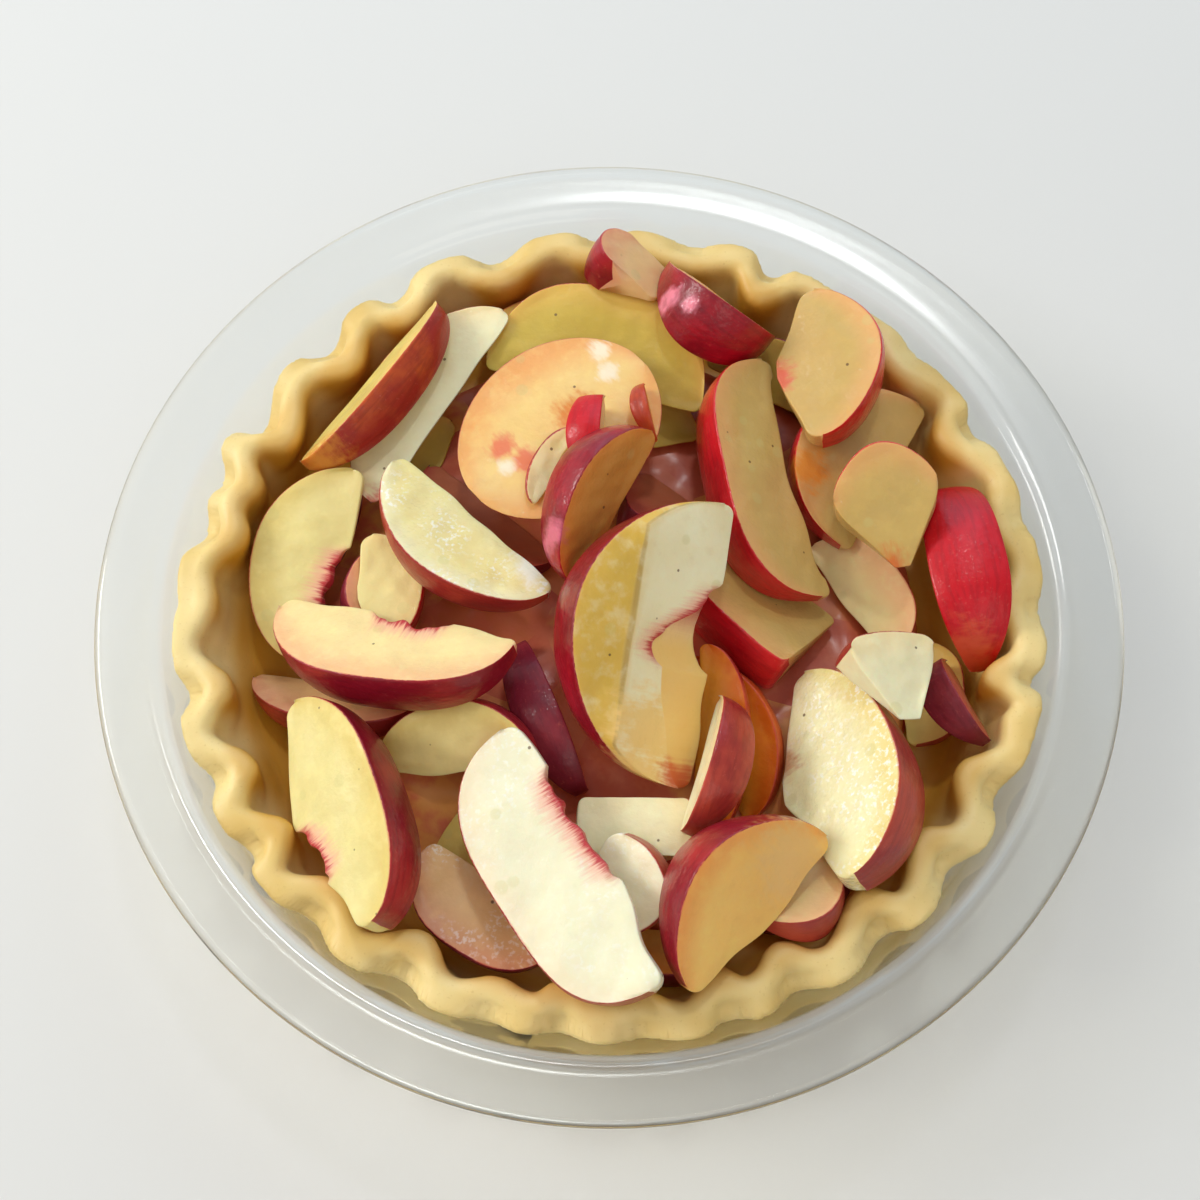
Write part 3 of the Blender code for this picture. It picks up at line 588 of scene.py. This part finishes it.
def peach_material(name, flesh, skin, stains_and_highlights):
    """Wet cut peach with its skin, told apart by the numbers on the mesh."""
    graph = Graph(name)
    ragged = graph.ramp(graph.noise(700.0, 2.0), 0.3, 0.7, *SKIN_EDGE_RAG)
    is_skin = graph.ramp(graph.minus(graph.value("edge"), ragged), *SKIN_EDGE, 1.0, 0.0)
    colour = graph.mix(is_skin, cut_colour(graph, flesh), skin_colour(graph, skin))
    for number, (patch_colour, _) in enumerate(stains_and_highlights):
        colour = add_stain_or_highlight(graph, colour, number, patch_colour)
    dull = graph.ramp(graph.noise(95.0, 3.0), 0.4, 0.65)
    relief = graph.plus(graph.noise(560.0, 5.0), graph.times(graph.noise(170.0, 2.0), 1.6))
    graph.set(Base_Color=colour, Roughness=graph.ramp(dull, 0.0, 1.0, 0.36, 0.52))
    graph.set(Normal=graph.bump(relief, FLESH_DEPTH, 0.5), Specular_IOR_Level=0.25)
    graph.set(Subsurface_Weight=0.3, Subsurface_Radius=(1.0, 0.55, 0.3), Subsurface_Scale=3.0 * MM)
    set_film(graph, is_skin, flesh, skin)
    return graph.material


# ---- slices

def in_hollow(form, x):
    """Place in the stone's hollow, which ends at -1 and 1."""
    return (x - form.stone_at * form.length / 2) / (form.span * form.length)


def outline(form, x):
    """Distance of the skin and of the chord side from the chord, at x along it."""
    part = min(1.0, abs(2 * x / form.length))
    outer = form.width * (1 - part ** form.blunt) ** (1 / form.blunt)
    outer *= 1 + OUTLINE_WOBBLE * sin(form.wobble + OUTLINE_WAVE * x / form.length)
    inner = CHORD_EDGE + form.fan * max(0.0, abs(x) - FAN_FLAT * form.length)
    along = in_hollow(form, x)
    if form.stone and abs(along) < 1:
        inner += form.stone * sqrt(1 - along * along)
    return outer, inner


def last_inside(inside, outside, is_inside, halvings):
    """The last place that is inside, on the way to one that isn't."""
    for _ in range(halvings):
        middle = (inside + outside) / 2
        inside, outside = (middle, outside) if is_inside(middle) else (inside, middle)
    return inside


def chord_range(form):
    """Where the slice starts and ends along its chord, and whether it is cut off there."""
    half = radians(form.wedge / 2)

    def open_at(x):
        outer, inner = outline(form, x)
        if form.cheek:
            return outer > form.cheek + THINNEST / 2
        return outer * cos(half) > inner + THINNEST

    ends = []
    for side in (-1, 1):
        limit = side * form.length / 2 * abs(form.keep[0 if side < 0 else 1])
        is_cut = open_at(limit)
        ends.append((limit if is_cut else last_inside(0.0, limit, open_at, END_HALVINGS), is_cut))
    return ends


def half_angle(form, outer):
    """Half the angle between the two edges of the skin, seen from the fruit's axis."""
    if form.cheek:
        return acos(min(FLATTEST_CHEEK, form.cheek / outer))
    return radians(form.wedge / 2)


def skirt_share(form, x):
    """How much of the chord side's slant there is at x."""
    start, full = SKIRT_RUN
    return float(smooth_step(start, full, 2 * x / form.length)) if form.skirt else 0.0


def feet_of(form, x, outer, inner):
    """Where the chord side meets the lower and the upper face, as (towards the skin, across)."""
    half = half_angle(form, outer)
    if form.cheek:
        level, reach = form.cheek + inner - CHORD_EDGE, outer * sin(half) * CHEEK_CUT
        return np.array([(level, -reach), (level, reach)])
    slope, slab = tan(half), form.slab * outer / form.width / 2
    upper = inner + form.skirt * outer / form.width * skirt_share(form, x)
    return np.array([(inner, -inner * slope - slab), (upper, upper * slope + slab)])


def solid_points(form):
    """Corners of the slice's solid in its own frame, and those of the skin alone."""
    (start, cut_start), (end, cut_end) = chord_range(form)
    count = form.sections
    places = [0.5 * (1 - cos(pi * (i + 1) / (count + 1))) for i in range(count)]
    if cut_start:
        places[0] = 0.0
    if cut_end:
        places[-1] = 1.0
    skin, others = [], []
    for part in places:
        x = start + (end - start) * part
        outer, inner = outline(form, x)
        half = half_angle(form, outer)
        slab = form.slab * outer / form.width
        for share in SKIN_SHARES:
            turn = half * share
            skin.append((x, outer * cos(turn), outer * sin(turn) + slab / 2 * share))
        others += [(x, *foot) for foot in feet_of(form, x, outer, inner)]
    for is_cut, x in ((cut_start, start), (cut_end, end)):
        if not is_cut:
            outer, inner = outline(form, x)
            others.append((x, form.cheek or (outer + inner) / 2, 0.0))
    return np.array(skin + others), np.array(skin)


def widest(points):
    """Distance between the two points that lie furthest apart."""
    return float(norm(points[:, None] - points[None], axis=2).max())


def find_length(form, target):
    """Length of the chord for which the slice is as long as its node."""
    def is_short(length):
        return widest(solid_points(form._replace(length=length))[0]) < target

    return last_inside(*LENGTH_RANGE, is_short, LENGTH_HALVINGS)


def rigid_turn(source, target):
    """Rotation and shift that carry one set of points to another."""
    source_middle, target_middle = source.mean(axis=0), target.mean(axis=0)
    u, _, vt = np.linalg.svd((source - source_middle).T @ (target - target_middle))
    sign = np.sign(np.linalg.det(vt.T @ u.T))
    turn = vt.T @ np.diag([1.0, 1.0, sign]) @ u.T
    return turn, target_middle - turn @ source_middle


def find_pose(skin, node_points):
    """The turn and shift that lay the slice's own frame on its node."""
    corners = len(SKIN_SHARES)
    sections = len(skin) // corners
    keys = skin[[0, corners * (sections - 1), corners * (sections // 2) + corners - 1]]
    span = norm(keys[:, None] - keys[None], axis=2)
    between = norm(node_points[:, None] - node_points[None], axis=2)
    best = (inf, None)
    for i, j in zip(*np.where(np.abs(between - span[0, 1]) < POSE_NEAR)):
        miss_i, miss_j = np.abs(between[i] - span[0, 2]), np.abs(between[j] - span[1, 2])
        for k in np.where(np.maximum(miss_i, miss_j) < POSE_NEAR)[0]:
            turn, shift = rigid_turn(keys, node_points[[i, j, k]])
            moved = skin @ turn.T + shift
            miss = norm(moved[:, None] - node_points[None], axis=2).min(axis=1).mean()
            if miss < best[0]:
                best = (miss, (turn, shift))
    return best


def fit_form(form, corners):
    """The form with its chord's length, and the turn and shift onto its node."""
    form = form._replace(length=find_length(form, widest(corners)))
    miss, pose = find_pose(solid_points(form)[1], corners)
    if miss < POSE_MISS:
        return form, pose
    stretch, step = LENGTH_SEARCH
    tries = []
    for length in np.arange(form.length - stretch, form.length, step):
        trial = form._replace(length=length)
        tries.append((*find_pose(solid_points(trial)[1], corners), trial))
    miss, pose, form = min(tries, key=lambda t: t[0])
    if miss > POSE_MISS:
        raise ValueError("the form of " + form.name + " doesn't fit its node")
    return form, pose


def steps_between(first, last, count, length, crease=None):
    """Shares of a way from first to last, closer together at both ends and about a crease."""
    near = min(CORNER_SHARE, CORNER / length)
    low, high = CORNER_GAP * near, 1 - CORNER_GAP * near
    if crease is None:
        inner = np.linspace(low, high, count - 3)
    else:
        before = (count - 4) // 2
        after = count - 4 - before
        inner = np.concatenate((np.linspace(low, crease - near, before), [crease],
                                np.linspace(crease + near, high, after)))
    shares = np.concatenate(([0.0, near], inner, [1 - near]))
    return first + (last - first) * shares


def crease_of(form, outer, top, foot):
    """Place of the crease between the skin's edge and the upper foot, and its height."""
    if not form.ridge:
        return None, 0.0
    place, rise = form.ridge
    reach = min(place, foot[0] + (top[0] - foot[0]) * RIDGE_LIMIT)
    return (top[0] - reach) / (top[0] - foot[0]), rise * outer / form.width


def strip(points, edge, stone=FAR, side=0.0, shade=0.0):
    """Points of one side of a ring, each with its four numbers."""
    return np.column_stack(np.broadcast_arrays(*points.T, edge, stone, side, shade))


def slice_ring(form, x):
    """One closed ring of the slice: skin, lower face, chord side and upper face.

    Its columns are the points and four numbers: distance from the skin's edge, distance from the
    stone's side, whether it is on the chord side, and whether it is between skin and crease, which
    takes painted shade.
    """
    outer, inner = outline(form, x)
    half = half_angle(form, outer)
    slab = form.slab * outer / form.width
    rounding = steps_between(1.0, -1.0, SKIN_STEPS, 2 * half * outer)
    turns = half * rounding
    skin = np.stack([outer * np.cos(turns), outer * np.sin(turns) + slab / 2 * rounding], axis=1)
    top = np.array([outer * cos(half), outer * sin(half) + slab / 2])
    bottom = top * (1, -1)
    lower_foot, upper_foot = feet_of(form, x, outer, inner)
    lower_way, upper_way = norm(bottom - lower_foot), norm(top - upper_foot)
    chord_way = norm(upper_foot - lower_foot)

    down = steps_between(0.0, 1.0, FACE_STEPS, lower_way)
    lower = bottom + (lower_foot - bottom) * down[:, None]
    over = steps_between(0.0, 1.0, CHEEK_STEPS if form.cheek else CHORD_STEPS, chord_way)
    chord = lower_foot + (upper_foot - lower_foot) * over[:, None]
    crease, rise = crease_of(form, outer, top, upper_foot)
    up = np.append(steps_between(0.0, 1.0, FACE_STEPS, upper_way, crease), 1.0)[:0:-1]
    upper = top + (upper_foot - top) * up[:, None]
    shade, middle = 0.0, 0.0
    if crease:
        upper[:, 1] += rise * np.minimum(up / crease, (1 - up) / (1 - crease))
        shade = smooth_step(SHADE_BLEND, -SHADE_BLEND, (up - crease) * upper_way)
    if form.cheek:
        middle = chord_way * np.minimum(over, 1 - over)
    return np.concatenate([
        strip(skin, (np.abs(turns) - half) * outer),
        strip(lower, down * lower_way, (1 - down) * lower_way),
        strip(chord, upper_way + middle, 0.0, skirt_share(form, x)),
        strip(upper, up * upper_way, (1 - up) * upper_way, 0.0, shade),
    ])


def round_corners(rings):
    """Soften the cut edges: every point where the ring turns sharply moves inwards."""
    before, after = np.roll(rings, 1, axis=1), np.roll(rings, -1, axis=1)
    a, b = rings - before, after - rings
    size = norm(a, axis=2) * norm(b, axis=2) + 1e-9
    bend = 1 - (a * b).sum(axis=2) / size
    amount = smooth_step(*CORNER_BEND, bend)[..., None] * CORNER_EASE
    return rings + ((before + after) / 2 - rings) * amount


def stone_zone(form, xs):
    """How much of the stone's ragged edge there is along the chord."""
    hollow = np.clip(ZONE_REACH - np.abs(in_hollow(form, xs)), 0.0, 1.0) * (form.stone > 0)
    shares = np.array([skirt_share(form, float(x)) for x in xs])
    return smooth_step(0.0, ZONE_BLEND, np.maximum(hollow, 4 * shares * (1 - shares)))


def face_width(form, x):
    """Width of the cut face at x."""
    outer, inner = outline(form, x)
    return outer * cos(half_angle(form, outer)) - inner


def rounded_range(form):
    """Where the slice ends, a little short of its sharp tips, with the radius of each end."""
    if form.cheek:
        return [(place, 0.0) for place, _ in chord_range(form)]
    widest_face = face_width(form, 0.0)
    tip = min(TIP_RADIUS, TIP_SHARE * widest_face)
    ends = []
    for side, (place, is_cut) in zip((-1, 1), chord_range(form)):
        if is_cut:
            ends.append((place, min(CUT_RADIUS, tip)))
            continue
        while face_width(form, place) < 2 * tip:
            place -= side * TIP_STEP
        ends.append((place, tip))
    return ends


def end_shrink(xs, ends):
    """How much narrower each half of a section is because of the rounded ends."""
    shrink = np.zeros_like(xs)
    for place, radius in ends:
        depth = np.clip(np.abs(xs - place), 0.0, radius)
        shrink = np.maximum(shrink, radius - np.sqrt(radius ** 2 - (radius - depth) ** 2))
    return shrink


def drawn_in(rings, xs, ends):
    """The rings, narrower near the rounded ends."""
    across = rings[..., 0]
    low, high = across.min(axis=1, keepdims=True), across.max(axis=1, keepdims=True)
    half_width, middle = (high - low) / 2, (high + low) / 2
    keep = np.maximum(1 - end_shrink(xs, ends)[:, None] / half_width, NARROWEST / half_width)
    rings[..., 0] = middle + (across - middle) * keep
    return rings


def roughen(points, edge, stone, zone, seed):
    """Ripples on the chord side, the stone's ragged edge, the cut faces and the skin."""
    waved = points * WAVE_SQUASH
    points[:, 1] += ripples(waved, CHORD_WAVES, seed + 5) * np.exp(-stone / CHORD_FADE)
    points[:, 1] += ripples(waved, RAG_WAVES, seed) * zone * np.exp(-stone / RAG_FADE)
    on_face = smooth_step(*WAVE_RUN, np.minimum(edge, stone))
    points[:, 2] += ripples(points, FACE_WAVES, seed + 2) * on_face
    points[:, 1] += ripples(points, SKIN_WAVES, seed + 4) * smooth_step(*WAVE_RUN, -edge)


def refine(form, seed):
    """Fine mesh of a slice in its own frame, with its numbers for the material."""
    ends = rounded_range(form)
    start, end = ends[0][0], ends[1][0]
    turns = np.linspace(0.0, pi, LENGTH_STEPS)
    places = 0.5 * (1 - np.cos(turns)) * END_CROWDING + (1 - END_CROWDING) * turns / pi
    xs = start + (end - start) * places
    made = np.array([slice_ring(form, float(x)) for x in xs])
    rings = drawn_in(round_corners(made[..., :2]), xs, ends)
    edge, stone, side, shade = np.moveaxis(made[..., 2:], 2, 0)
    rows, around = edge.shape
    along = np.broadcast_to(xs[:, None], edge.shape)
    points = np.concatenate([along[..., None], rings], axis=2).reshape(-1, 3)
    zone = stone_zone(form, xs)[:, None] * (1 - side) ** 2 * (form.name not in SMOOTH_STONES)
    values = {"edge": edge, "stone": stone, "zone": zone, "side": side, "shade": shade,
              "along": along + seed}
    values = {key: value.ravel() for key, value in values.items()}
    roughen(points, values["edge"], values["stone"], values["zone"], seed)
    return points, values, rows, around


def cap_ends(points, values, rows, around):
    """Faces of the rings, with a point in the middle of each end."""
    faces = grid_faces(rows, around)
    for first, flip in ((0, True), ((rows - 1) * around, False)):
        ring = slice(first, first + around)
        points = np.vstack([points, points[ring].mean(axis=0)])
        values = {key: np.append(value, value[ring].mean()) for key, value in values.items()}
        faces += cap_faces(first, around, len(points) - 1, flip)
    return points, values, faces


def signed_volume(points, faces):
    """Positive where the faces look outward."""
    a, b, c, d = points[quads_of(faces).T]
    return float((a * np.cross(b, c)).sum() + (a * np.cross(c, d)).sum())


def stain_or_highlight_share(points, spots):
    """Share of a stain or painted highlight at each point: 1 in the middle of a spot, 0 outside."""
    share = np.zeros(len(points))
    for x, y, radius in spots:
        share = np.maximum(share, 1 - np.hypot(points[:, 0] - x, points[:, 1] - y) / radius)
    return share


def build_slice(form, seed, material):
    """One slice, laid on its node."""
    corners = np.unique(np.round(points_of(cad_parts[form.name].data), 3), axis=0)
    form, (turn, shift) = fit_form(form, corners)
    points, values, faces = cap_ends(*refine(form, seed))
    if signed_volume(points, faces) < 0:
        faces = [tuple(reversed(f)) for f in faces]
    points = points @ turn.T + shift
    for mark, (_, spots) in enumerate(STAINS_AND_HIGHLIGHTS.get(form.name, ())):
        values["stain_or_highlight_" + str(mark)] = stain_or_highlight_share(points, spots)
    item = add_object("slice_" + form.name, points, faces, material)
    for key, numbers in values.items():
        add_values(item, key, numbers)
    stand_for(item, form.name)


def build_slices():
    dice = random.Random(SEED)
    materials = {}
    for number, form in enumerate(FORMS):
        form = form._replace(wobble=dice.uniform(0, 2 * pi))
        stains_and_highlights = STAINS_AND_HIGHLIGHTS.get(form.name, ())
        look = form.name if stains_and_highlights else form.flesh + "_" + form.skin
        if look not in materials:
            flesh, skin = FLESHES[form.flesh], SKINS[form.skin]
            materials[look] = peach_material("peach_" + look, flesh, skin, stains_and_highlights)
        build_slice(form, FIRST_SLICE_SEED + SLICE_SEED_STEP * number, materials[look])


# ---- dish

GLASS_TINT = (0.965, 0.98, 0.975, 1.0)
GLASS_SHADOW = (0.77, 0.77, 0.73, 1.0)


def glass_material():
    """Clear glass that lets light through to what lies under it."""
    graph = Graph("glass")
    graph.set(Base_Color=GLASS_TINT, Roughness=0.12, IOR=1.47, Transmission_Weight=1.0)
    graph.set(Normal=graph.bump(graph.noise(16.0, 1.0), 1.0, 0.12))
    clear = graph.use("BsdfTransparent", 0, {"Color": GLASS_SHADOW})
    in_shadow = graph.use("LightPath", "Is Shadow Ray")
    blend = graph.use("MixShader", 0, {0: in_shadow, 1: graph.shader.outputs[0], 2: clear})
    graph.feed(graph.tree.nodes["Material Output"].inputs["Surface"], blend)
    return graph.material


def dish_profile():
    """Half section of the dish, from the middle of its underside round to that of its floor."""
    under = DISH_HEIGHT - FLANGE_THICKNESS
    bend = FOOT_RADIUS - FOOT_WIDTH
    nose = FLANGE_THICKNESS / 2
    turns = np.linspace(-pi / 2, pi / 2, NOSE_STEPS)
    middle = DISH_RADIUS - nose
    edge = tuple((middle + nose * cos(t), under + nose + nose * sin(t)) for t in turns)
    foot = ((bend - 1.5, 0.8), (bend - 0.5, 0.25), (bend, 0.0), (FOOT_RADIUS, 0.0))
    outer_heel = (
        (FOOT_RADIUS + 2.6, 0.5), (FOOT_RADIUS + 4.9, 1.7), (WELL_HEEL_RADIUS + 2.2, 3.6),
        (WELL_HEEL_RADIUS + 3.6, 6.0), (WELL_TOP_RADIUS - 1.0, 24.5),
    )
    flange_below = (
        (WELL_TOP_RADIUS + 1.6, under - 2.6), (FLANGE_INNER_RADIUS + 1.3, under - 1.0),
        (FLANGE_INNER_RADIUS + 3.6, under - 0.45), (DISH_RADIUS - 6.0, under - 0.05),
    )
    flange_above = (
        (DISH_RADIUS - 7.0, DISH_HEIGHT - 0.15), (FLANGE_INNER_RADIUS + 1.6, DISH_HEIGHT - 0.45),
        (FLANGE_INNER_RADIUS + 0.5, DISH_HEIGHT - 0.7), (FLANGE_INNER_RADIUS - 0.1, DISH_HEIGHT - 1.3),
    )
    well = (
        (WELL_TOP_RADIUS, WELL_TOP_Z), (WELL_HEEL_RADIUS + 0.9, WELL_HEEL_Z + 1.2),
        (WELL_HEEL_RADIUS - 0.5, WELL_HEEL_Z - 1.2), (WELL_HEEL_RADIUS - 2.2, FLOOR_THICKNESS + 0.9),
        (WELL_FLOOR_RADIUS, FLOOR_THICKNESS),
    )
    return foot + outer_heel + flange_below + edge + flange_above + well


def build_dish():
    """The dish, turned from its half section."""
    profile = dish_profile()
    turns = np.linspace(0, 2 * pi, DISH_SEGMENTS, endpoint=False)
    unit = np.stack([np.cos(turns), np.sin(turns), np.zeros(DISH_SEGMENTS)], axis=1)
    rings = [unit * radius + (0, 0, z) for radius, z in profile]
    points = np.concatenate(rings + [[(0, 0, profile[0][1])], [(0, 0, profile[-1][1])]])
    faces = grid_faces(len(profile), DISH_SEGMENTS)
    faces += cap_faces(0, DISH_SEGMENTS, len(points) - 2, True)
    faces += cap_faces((len(profile) - 1) * DISH_SEGMENTS, DISH_SEGMENTS, len(points) - 1, False)
    item = add_object("glass_dish", points, faces, glass_material())
    stand_for(item, "dish")


def well_radius(z):
    """Inside radius of the glass at height z."""
    heights = (FLOOR_THICKNESS, WELL_HEEL_Z, WELL_TOP_Z, DISH_HEIGHT)
    radii = (WELL_FLOOR_RADIUS, WELL_HEEL_RADIUS, WELL_TOP_RADIUS, FLANGE_INNER_RADIUS)
    return np.interp(z, heights, radii)


# ---- crust

DOUGH_LIGHT = (241, 215, 146)
DOUGH_DEEP = (226, 190, 108)
DOUGH_WET_AND_SHADED = (210, 148, 12)
DOUGH_GRAINS = (190, 148, 74)
WET_AND_SHADE_RUN = (0.028, 0.038)  # heights in metres between which the inside's wet ochre and painted shade fade out


def dough_material():
    """Raw pastry, paler on the edge; down the inside a moist ochre that is partly painted shade."""
    graph = Graph("dough")
    height = graph.use("SeparateXYZ", "Z", {0: graph.position()})
    broad = graph.noise(40.0, 3.0)
    colour = graph.mix(graph.ramp(broad, 0.35, 0.7), rgb(DOUGH_LIGHT), rgb(DOUGH_DEEP))
    # painted shade: the deep ochre down the inside also stands for the shade in the deep pockets
    low = graph.ramp(height, *WET_AND_SHADE_RUN, 0.9, 0.0)
    colour = graph.mix(graph.times(low, graph.value("inside")), colour, rgb(DOUGH_WET_AND_SHADED))
    grains = graph.ramp(graph.noise(1300.0, 2.0), 0.62, 0.75, 0.0, 0.25)
    colour = graph.mix(grains, colour, rgb(DOUGH_GRAINS))
    relief = graph.plus(graph.noise(260.0, 4.0), graph.noise(60.0, 2.0))
    graph.set(Base_Color=colour, Roughness=0.5, Normal=graph.bump(relief, 0.4, 0.35))
    graph.set(Subsurface_Weight=0.15, Subsurface_Radius=(1.0, 0.6, 0.25), Subsurface_Scale=2.0 * MM)
    graph.set(Coat_Weight=0.08, Coat_Roughness=0.35)
    return graph.material


def remeshed(node, size):
    """Even mesh over a node's solid, as points in millimetres and quads."""
    item = put("remesh_" + node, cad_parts[node].data.copy())
    step = item.modifiers.new("even", "REMESH")
    step.mode = "VOXEL"
    step.voxel_size = size * MM
    made = item.evaluated_get(bpy.context.evaluated_depsgraph_get()).to_mesh()
    points = points_of(made)
    faces = [tuple(p.vertices) for p in made.polygons]
    edges = np.empty(len(made.edges) * 2, np.int32)
    made.edges.foreach_get("vertices", edges)
    bpy.data.objects.remove(item)
    return points, faces, edges.reshape(-1, 2)


def relax(points, edges, rounds, amount=0.6):
    """Smooth a mesh by moving each point towards its neighbours."""
    degree = np.bincount(edges.ravel(), minlength=len(points))[:, None]
    for _ in range(rounds):
        total = np.zeros_like(points)
        np.add.at(total, edges[:, 0], points[edges[:, 1]])
        np.add.at(total, edges[:, 1], points[edges[:, 0]])
        points = points + (total / degree - points) * amount
    return points


def vertex_normals(points, faces):
    """Unit normals of a mesh of quads."""
    quads = quads_of(faces)
    a, b, c, d = points[quads.T]
    across = np.cross(c - a, d - b)
    normals = np.zeros_like(points)
    for k in range(4):
        np.add.at(normals, quads[:, k], across)
    return normals / (norm(normals, axis=1)[:, None] + 1e-9)


def shape_lip(points, faces, edges):
    """Draw the lip thinner and its pleats sharper."""
    lip = smooth_step(*LIP_RUN, points[:, 2])[:, None]
    pleats = (points - relax(points, edges, PLEAT_ROUNDS)) * (1, 1, 0)
    thinner = relax(vertex_normals(points, faces), edges, 2) * LIP_THINNING
    return relax(points + (pleats * PLEAT_SHARPENING - thinner) * lip, edges, 2)


def press(points, faces, edges):
    """Press the crust's outer side against the glass."""
    height, radius = points[:, 2], np.hypot(points[:, 0], points[:, 1])
    outward = points[:, :2] / radius[:, None]
    points += ripples(points, CRUST_WAVES, CRUST_SEED)[:, None]
    gap = well_radius(height) - radius
    loose, tight = (g - LIP_PRESS_GAP * smooth_step(*LIP_PRESS_RUN, height) for g in PRESS_GAP)
    share = smooth_step(loose, tight, gap) * smooth_step(*PRESS_RUN, height)
    facing = (vertex_normals(points, faces)[:, :2] * outward).sum(axis=1)
    share *= smooth_step(*PRESS_FACING, facing)
    move = np.maximum(gap + PRESS_DEPTH, 0.0) * share
    points[:, :2] += outward * move[:, None]
    return np.where((move > PRESS_SMOOTHED)[:, None], relax(points, edges, 3), points), radius


def build_crust():
    """The crust, smoothed from its solid."""
    points, faces, edges = remeshed("crust", CRUST_MESH)
    points = shape_lip(relax(points, edges, 4), faces, edges)
    points, radius = press(points, faces, edges)
    under = points[:, 2] < FLOOR_THICKNESS + BASE_RISE
    under &= radius < WELL_FLOOR_RADIUS + BASE_MARGIN
    points[under, 2] = FLOOR_THICKNESS - BASE_DEPTH
    item = add_object("dough_crust", points, faces, dough_material())
    middle = np.interp(points[:, 2], CRUST_MIDDLE_Z, CRUST_MIDDLE_RADIUS)
    add_values(item, "inside", smooth_step(*INSIDE_RUN, radius - middle))
    stand_for(item, "crust")


# ---- fruit below

JUICE_DEEP = (200, 90, 58)
JUICE_PALE = (228, 158, 80)
JUICE_MOTTLE = (214, 112, 74)


def filling_material():
    """Wet fruit in patches, each of its own tone."""
    graph = Graph("filling")
    _, number = graph.cells(48.0)
    colour = graph.mix(graph.ramp(number, 0.3, 0.7), rgb(JUICE_DEEP), rgb(JUICE_PALE))
    colour = graph.mix(graph.ramp(graph.noise(120.0), 0.4, 0.65), colour, rgb(JUICE_MOTTLE))
    graph.set(Base_Color=colour, Roughness=0.5, Coat_Weight=0.2, Coat_Roughness=0.2)
    graph.set(Normal=graph.bump(graph.noise(240.0), 0.5, 0.5))
    return graph.material


def build_filling():
    """Packed fruit and juice below the slices that show."""
    points, faces, edges = remeshed("core", CORE_MESH)
    points = relax(points, edges, 3)
    lumps = ripples(points * (1, 1, CORE_FLATTENING), CORE_LUMPS, CORE_SEED)
    lumps += ripples(points, CORE_BUMPS, CORE_SEED + 1)
    points[:, 2] += lumps * smooth_step(*CORE_LUMP_RUN, points[:, 2])
    item = add_object("packed_fruit", points, faces, filling_material())
    stand_for(item, "core")


# ---- stage

def look_at(item, target):
    item.rotation_mode = "QUATERNION"
    item.rotation_quaternion = (Vector(target) - item.location).to_track_quat("-Z", "Y")


def build_camera():
    """A camera at the photograph's place."""
    lens = bpy.data.cameras.new("camera")
    lens.sensor_width = SENSOR
    lens.lens = SENSOR * CAMERA_FOCAL / PHOTO_SIDE
    lens.clip_start, lens.clip_end = (limit * MM for limit in CAMERA_CLIP)
    camera = put("camera", lens)
    rise = radians(CAMERA_ELEVATION)
    back = Vector((0.0, -cos(rise), sin(rise)))
    target = Vector(CAMERA_TARGET) * MM
    camera.location = target + back * CAMERA_DISTANCE * MM
    look_at(camera, target)
    bpy.context.scene.camera = camera


def area_light(kind):
    lamp = bpy.data.lights.new(kind.name, "AREA")
    lamp.shape = "RECTANGLE"
    lamp.size, lamp.size_y = kind.size
    lamp.energy = kind.power
    lamp.color = kind.colour
    item = put(kind.name, lamp)
    item.location = kind.place
    look_at(item, (0, 0, kind.aim))


def build_light():
    """Soft daylight from the upper left, with a pale room all round."""
    world = bpy.data.worlds.new("room")
    world.use_nodes = True
    back = world.node_tree.nodes["Background"]
    back.inputs["Color"].default_value = ROOM_COLOUR
    back.inputs["Strength"].default_value = ROOM_STRENGTH
    bpy.context.scene.world = world
    for kind in LAMPS:
        area_light(kind)


def build_floor():
    graph = Graph("floor")
    graph.set(Base_Color=rgb(FLOOR_COLOUR), Roughness=0.7)
    side = FLOOR_HALF_SIDE
    points = [(-side, -side, 0), (side, -side, 0), (side, side, 0), (-side, side, 0)]
    add_object("floor", points, [(0, 1, 2, 3)], graph.material)


bpy.context.scene.view_settings.view_transform = "Standard"
build_camera()
build_light()
build_floor()
build_dish()
build_crust()
build_filling()
build_slices()
